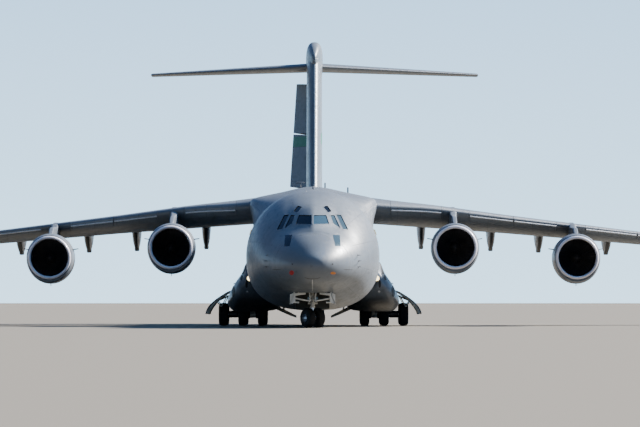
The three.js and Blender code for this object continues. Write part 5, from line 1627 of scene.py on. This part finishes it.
innerDoor = {
    "top": [(0.96, 0.545), (1.3, 0.72), (1.75, 0.95), (2.21, 1.19)],
    "low": [(0.95, 0.43), (1.3, 0.56), (1.75, 0.76), (2.25, 0.98)],
    "ends": 0.2, "ribs": 6, "rib": 0.05, "skin": 0.03, "link": ((1.62, 0.9), (1.92, 1.5), 0.03, 14, 0.005),
}
top, low = innerDoor["top"], innerDoor["low"]
front, back = gear["bay"][0] + innerDoor["ends"], gear["bay"][1] - innerDoor["ends"]
doorSkin = arcPlate([(x, z + innerDoor["skin"]) for x, z in low], low, front, back)
rib = innerDoor["rib"]
ribs = [arcPlate(top, low, y, y + rib) for y in steps(front + 0.005, back - rib - 0.005, innerDoor["ribs"])]
ribs.append(arcPlate(top[:2], low[:2], front + 0.02, back - 0.02))
ribs += [crossRod(y, *innerDoor["link"]) for y in (front + 0.8, back - 0.8)]
innerParts = shaped(gather(doorSkin, painted(gather(*ribs), 1)), [hullBlank.copy()])
bothSides("main_door_inner_parts", innerParts, ["skin", "cream"], stands=["main_door_inner_%"])

noseDoor = {
    "outside": [(0.955, 2.2), (0.958, 1.95), (0.96, 1.72), (1.06, 1.44), (1.166, 1.2)],
    "inside": [(0.925, 2.2), (0.925, 1.95), (0.925, 1.71), (1.025, 1.42), (1.13, 1.19)],
    "front": 3.45, "back": 4.9, "frameDeep": 0.03, "frame": 0.035,
    # the thick front edge, and the links that drive the door
    "edge": [(0.87, 1.75), (0.93, 1.78), (1.14, 1.7), (1.14, 1.27), (1.02, 1.22), (0.87, 1.34)],
    "links": [((0.9, 3.6, 1.7), (0.4, 3.9, 1.76), 0.075, 0.065, 20, 0.015),
              ((0.4, 3.9, 1.7), (0.4, 4.0, 2.38), 0.05, 0.05, 16, 0.01),
              ((0.9, 3.62, 1.5), (0.12, 3.75, 1.36), 0.045, 0.035, 16, 0.008),
              ((0.12, 3.75, 1.36), (0.2, 4.1, 2.38), 0.03, 0.03, 14, 0.006),
              ((0.93, 3.55, 1.3), (0.68, 3.55, 1.29), 0.04, 0.04, 16, 0.008),
              ((1.03, 4.62, 1.44), (0.55, 4.62, 1.98), 0.028, 0.028, 14, 0.005),
              ((0.55, 4.62, 1.96), (0.55, 4.62, 2.38), 0.022, 0.022, 14, 0.004)],
}
outside, inside = (smoothCurve(noseDoor[side], 14) for side in ("outside", "inside"))
frameLine = inside[2:-1]
plates = [arcPlate(outside, inside, noseDoor["front"], noseDoor["back"], 0.004)]
for y in steps(noseDoor["front"] + 0.02, noseDoor["back"] - noseDoor["frame"] - 0.02, 4):
    deeper = [(x - noseDoor["frameDeep"], z) for x, z in frameLine]
    plates.append(arcPlate(frameLine, deeper, y, y + noseDoor["frame"]))
edge = prism([(x, noseDoor["front"], z) for x, z in noseDoor["edge"]], (0, 0.2, 0), 0.02, 2)
doorParts = gather(shaped(gather(*plates), [hullBlank.copy()]), edge, *rods(noseDoor["links"]))
bothSides("nose_door_parts", doorParts, "white", slot="gear_paint", stands=["nose_door_%"])
print("gear doors made")


# Small things on the skin
fittings = {
    "proud": 0.006,
    "lowerWindow": [(1.02, 4.68), (1.37, 4.67), (1.41, 4.1), (1.14, 4.11)],
    "spots": [
        ("spot", -1.04, 2.77, 0.115, 0.115), ("orange", 1.03, 2.75, 0.13, 0.065),
        ("black", -1.0, 3.2, 0.035, 0.03), ("black", 1.0, 3.2, 0.04, 0.045),
        ("seam", -1.8, 2.93, 0.24, 0.012), ("seam", 1.8, 2.93, 0.24, 0.012),
    ],
    "chin": {"half": 0.39, "z": 2.47, "rise": 0.07, "width": 0.02, "lineTop": 2.42, "lineLow": 1.86,
             "lineHalf": 0.014},
    "strip": (9.9, 10.9, 4.78, 5.06),
    "sideWindows": [(11.9, 4.25), (30.0, 3.5)],
    "troopDoor": (29.45, 30.55, 1.72, 3.95, 0.02),
    "probes": [(2.42, 3.66), (2.46, 3.38), (2.5, 3.08)],
}


def oval(x, z, halfX, halfZ, count=24):
    angles = (2 * pi * i / count for i in range(count))
    return [(x + halfX * cos(a), z + halfZ * sin(a)) for a in angles]


def frontPatch(outline, y0=0.25, y1=4.4):
    # a thin piece let into the nose, with its outline as seen from the front
    wall = shaped(hullTube(y0 + 0.05, y1, 60, fittings["proud"]), [hullTube(y0, y1 + 0.1, 60, -0.02)])
    return shaped(wall, [prism([(x, y0 - 0.2, z) for x, z in outline], (0, y1 + 0.4 - y0, 0))], "INTERSECT")


def sidePatch(outline, hollow=None):
    # the same on the flank, with its outline in stations and heights
    y0, y1 = min(y for y, _ in outline) - 0.1, max(y for y, _ in outline) + 0.1
    wall = shaped(hullTube(y0, y1, 8, fittings["proud"]), [hullTube(y0 - 0.1, y1 + 0.1, 8, -0.02)])
    bm = shaped(wall, [prism([(0, y, z) for y, z in outline], (9, 0, 0))], "INTERSECT")
    return shaped(bm, [prism([(-1, y, z) for y, z in hollow], (10, 0, 0))]) if hollow else bm


lower = frontPatch(fittings["lowerWindow"], 0.8)
# painted shade: the copy on the right side takes the near-black glass
lower = gather(lower, painted(mirrored(lower), 1))
piece("lower_windows", lower, ["pane", "glassInPaintedShade"], slot="windscreen")

marks = ["spot", "orange", "black", "seam", "bright"]
chin = fittings["chin"]
arcXs = steps(-chin["half"], chin["half"], 12)
arc = [(x, chin["z"] + chin["rise"] * (x / chin["half"]) ** 2) for x in arcXs]
chinArc = frontPatch(arc + [(x, z - chin["width"]) for x, z in reversed(arc)])
lineHalf = chin["lineHalf"]
line = [(x, chin["lineLow"]) for x in (-lineHalf, lineHalf)] + [
    (x, chin["lineTop"]) for x in (lineHalf, -lineHalf)
]
noseMarks = [painted(chinArc, 3), painted(frontPatch(line), 4)]
for kind, x, z, halfX, halfZ in fittings["spots"]:
    noseMarks.append(painted(frontPatch(oval(x, z, halfX, halfZ)), marks.index(kind)))
piece("nose_marks", gather(*noseMarks), marks)

y0, y1, z0, z1 = fittings["strip"]
x0, x1 = hullSide(y0, z1) - 0.05, hullSide(y0, z0) + 0.06
strip = prism(
    [(x0, y0, z1), (x0 + 0.13, y0, z1), (x1, y0, z0), (x1 - 0.13, y0, z0)], (0, y1 - y0, 0), 0.02, 3
)
bothSides("formation_strip", strip, "amber")
sideGlass = [sidePatch(oval(y, z, 0.14, 0.16)) for y, z in fittings["sideWindows"]]
bothSides("side_windows", gather(*sideGlass), "pane", slot="windscreen")
y0, y1, z0, z1, width = fittings["troopDoor"]
outline, hollow = (
    [(y0 + w, z0 + w), (y1 - w, z0 + w), (y1 - w, z1 - w), (y0 + w, z1 - w)] for w in (0, width)
)
seam = sidePatch(outline, hollow)
bothSides("troop_door_seam", seam, "seam")


def probe(y, z):
    # an air data probe: a small mast with a tube that points ahead
    x = hullSide(y, z)
    end = (x + 0.1, y - 0.08, z)
    base = [(-0.03, 0.0), (-0.03, 0.05), (0.008, 0.05), (0.012, 0.045), (0.012, 0.0)]
    base = turned(base, (x, y, z), (0.75, -0.6, 0), 20)
    mast = bar((x - 0.02, y, z), end, 0.018, 0.011, turns=12)
    tubeEnd = [(-0.02, 0.0), (-0.02, 0.012), (0.2, 0.01), (0.21, 0.006), (0.21, 0.0)]
    tubeEnd = turned(tubeEnd, end, (0.12, -1, 0), 12)
    return gather(base, mast, tubeEnd)


bothSides("air_probes", gather(*(probe(y, z) for y, z in fittings["probes"])), "frame")


def blade(x, y, z, height, chord, lean=0.35, thick=0.08):
    # a swept blade aerial
    outline = [(y, -0.08), (y + height * lean, height * 0.93), (y + height * lean + 0.03, height)]
    outline += [(y + height * lean + chord * 0.55, height), (y + chord, -0.08)]
    bm = prism([(x - thick / 2, station, z + up) for station, up in outline], (thick, 0, 0))
    bmesh.ops.bevel(bm, geom=bm.edges[:], offset=size(thick * 0.3), **rounding)
    return bm


def crown(y, x):
    # the height of the fuselage or of the fairing on it
    halfWidth, top, _ = saddle(y)
    fairing = 0
    if 14.6 < y < saddleFull["back"]:
        fairing = top - saddleArch(min(1, abs(x) / halfWidth))[0] * (halfWidth / saddleFull["half"]) ** 2
    across, hullTop, _, waist, _ = hullAt(y)
    return max(fairing, waist + (hullTop - waist) * sqrt(max(0, 1 - (x / across) ** 2)))


aerials = {
    # across, station, height, chord
    "blades": [
        (0.63, 19.4, 0.3, 0.42), (1.86, 19.8, 0.33, 0.42), (0.0, 12.4, 0.26, 0.4), (0.0, 27.5, 0.3, 0.45)
    ],
    "paintedBellyShade": [(0.0, 12.2, 0.3, 0.4), (0.55, 15.6, 0.22, 0.3), (-0.55, 18.9, 0.22, 0.3)],
    "mast": (-0.7, 20.6, 0.33),
    "beacon": (0.0, 30.0),
}
parts = [blade(x, y, crown(y, x), height, chord) for x, y, height, chord in aerials["blades"]]
for x, y, height, chord in aerials["paintedBellyShade"]:
    low = blade(x, y, 0, height, chord)
    bmesh.ops.scale(low, vec=(1, 1, -1), verts=low.verts)
    bmesh.ops.reverse_faces(low, faces=low.faces)
    parts.append(moved(low, 0, 0, 0.88))
x, y, height = aerials["mast"]
base = crown(y, x)
top = base + height
parts.append(bar((x, y, base - 0.05), (x, y, top), 0.04, 0.03, turns=16, soft=0.004))
parts.append(bar((x - 0.24, y, top), (x + 0.24, y, top), 0.03, turns=16, soft=0.008))
piece("aerials", gather(*parts), "frame")
x, y = aerials["beacon"]
rimProfile = [(-0.05, 0.0), (-0.05, 0.12), (0.02, 0.12)]
lens = turned(rimProfile + [(0.08, 0.1), (0.13, 0.055), (0.145, 0.0)], (x, y, crown(y, 0)), zAxis, 28)
under = turned(rimProfile + [(0.07, 0.1), (0.11, 0.055), (0.12, 0.0)], (x, 14.2, 0.88), -zAxis, 28)
piece("beacons", gather(lens, under), "red")
print("aerials and marks made")

# Lamps, slots and scoops on the gear pods
podFittings = {
    "lamp": (3.37, 2.56, 0.14), "lampStation": 15.75, "small": (3.5, 1.86, 0.06, 0.05),
    "slots": [(3.53, 2.25, 0.065, 0.19), (4.26, 1.87, 0.1, 0.3)],
    "darkPatches": [
        # dark patches on the pod's flank
        [(3.5, 3.62), (3.57, 3.6), (3.8, 2.78), (3.68, 2.76)],
        [(3.72, 2.72), (3.84, 2.74), (3.92, 2.5), (3.8, 2.46)]
    ],
    "scoop": {"front": 20.9, "back": 21.5, "inner": (3.8, 2.52), "outer": (4.33, 2.3), "thick": 0.035},
}


def swollen(bm, amount):
    bm.normal_update()
    for vert in bm.verts:
        vert.co += vert.normal * size(amount)
    return bm


podWall = shaped(
    swollen(tube(pod["around"], 84, podPoint), 0.006),
    [swollen(tube(pod["around"], 84, podPoint), -0.02), hullBlank.copy()]
)


def podPatch(outline):
    return shaped(podWall.copy(), [prism([(x, 15.5, z) for x, z in outline], (0, 6.5, 0))], "INTERSECT")


x, z, radius = podFittings["lamp"]
lampPlace = (x, podFittings["lampStation"], z)
bezel = [(-0.5, 0.0), (-0.5, radius + 0.03), (0.0, radius + 0.03), (0.02, radius + 0.015), (0.0, radius)]
bezel += [(-0.05, radius * 0.96), (-0.05, 0.0)]
glass = [
    (-0.045, 0.0), (-0.045, radius * 0.95), (-0.03, radius * 0.95), (-0.012, radius * 0.55), (-0.005, 0.0)
]
shell, lens = (turned(profile, lampPlace, -yAxis, 40) for profile in (bezel, glass))
bothSides("landing_lamp_bezels", shell, "frame")
bothSides("landing_lamps", lens, "landing")
openings = [oval(*slot) for slot in podFittings["slots"]] + podFittings["darkPatches"]
dark = [podPatch(outline) for outline in openings]
scoop = podFittings["scoop"]
(x0, z0), (x1, z1), t = scoop["inner"], scoop["outer"], scoop["thick"]
lip = [(x0, z0), (x1, z1), (x1, z1 - t), (x0, z0 - t)]
reach = (0, scoop["back"] - scoop["front"], 0)
dark.append(prism([(x, scoop["front"], z) for x, z in lip], reach, 0.01, 2))
bothSides("pod_vents", gather(*dark), "black")
bothSides("pod_small_lamps", podPatch(oval(*podFittings["small"])), "bright")
print("pod fittings made")

# Stage, light and camera
studio = {"lens": 263.8, "place": (0.3, -129.66, 0.75), "turn": (91.036, 0, 0.055)}
floor = bmesh.new()
bmesh.ops.create_grid(floor, x_segments=4, y_segments=4, size=600)
floorMesh = bpy.data.meshes.new("floor")
floor.to_mesh(floorMesh)
floor.free()
ground = bpy.data.objects.new("floor", floorMesh)
bpy.context.scene.collection.objects.link(ground)
floorFinish = bpy.data.materials.new("pale_floor")
floorFinish.use_nodes = True
for socket, value in (("Base Color", (0.15, 0.13, 0.1, 1)), ("Roughness", 0.9)):
    floorFinish.node_tree.nodes["Principled BSDF"].inputs[socket].default_value = value
floorMesh.materials.append(floorFinish)

world = bpy.data.worlds.new("studio")
world.use_nodes = True
worldNodes, worldLinks = world.node_tree.nodes, world.node_tree.links
# a pale band round the horizon and a deeper blue above it
direction = worldNodes.new("ShaderNodeTexCoord")
height = worldNodes.new("ShaderNodeSeparateXYZ")
bands = worldNodes.new("ShaderNodeValToRGB")
worldLinks.new(direction.outputs["Generated"], height.inputs[0])
worldLinks.new(height.outputs["Z"], bands.inputs[0])
skyTones = [
    (0.0, (0.68, 1.02, 1.3)), (0.08, (0.4, 0.68, 1.0)), (0.2, (0.05, 0.1, 0.23)),
    (1.0, (0.028, 0.066, 0.18))
]
bands.color_ramp.elements[1].position = 1.0
for position, tone in skyTones[1:3]:
    bands.color_ramp.elements.new(position)
for element, (position, tone) in zip(bands.color_ramp.elements, skyTones):
    element.position, element.color = position, (*tone, 1)
# the studio is darker ahead of the nose
ahead = worldNodes.new("ShaderNodeMapRange")
shade = worldNodes.new("ShaderNodeVectorMath")
shade.operation = "SCALE"
worldLinks.new(height.outputs["Y"], ahead.inputs["Value"])
for socket, value in (("From Min", -0.3), ("From Max", 0.35), ("To Min", 0.4), ("To Max", 1.0)):
    ahead.inputs[socket].default_value = value
worldLinks.new(bands.outputs[0], shade.inputs[0])
worldLinks.new(ahead.outputs[0], shade.inputs["Scale"])
worldLinks.new(shade.outputs[0], worldNodes["Background"].inputs["Color"])
worldNodes["Background"].inputs["Strength"].default_value = 2.0
bpy.context.scene.world = world
for name, toward, energy, angle, colour in (
    # toward the light: to the left wing, aft, up
    ("key", (0.74, 0.36, 0.57), 19, 8, (1.0, 0.97, 0.93)),
    ("sheen", (0.45, -0.13, 0.88), 1.5, 42, (0.22, 0.52, 1.0)),
):
    light = bpy.data.lights.new(name, "SUN")
    light.energy, light.angle, light.color = energy, radians(angle), colour
    sun = bpy.data.objects.new(name, light)
    sun.rotation_euler = Vector(toward).to_track_quat("Z", "Y").to_euler()
    bpy.context.scene.collection.objects.link(sun)

cameraData = bpy.data.cameras.new("camera")
cameraData.lens, cameraData.sensor_width = studio["lens"], 36
cameraData.clip_start, cameraData.clip_end = 1, 2000
camera = bpy.data.objects.new("camera", cameraData)
camera.location = studio["place"]
camera.rotation_euler = [radians(part) for part in studio["turn"]]
bpy.context.scene.collection.objects.link(camera)
bpy.context.scene.camera = camera
print("stage, light and camera set")
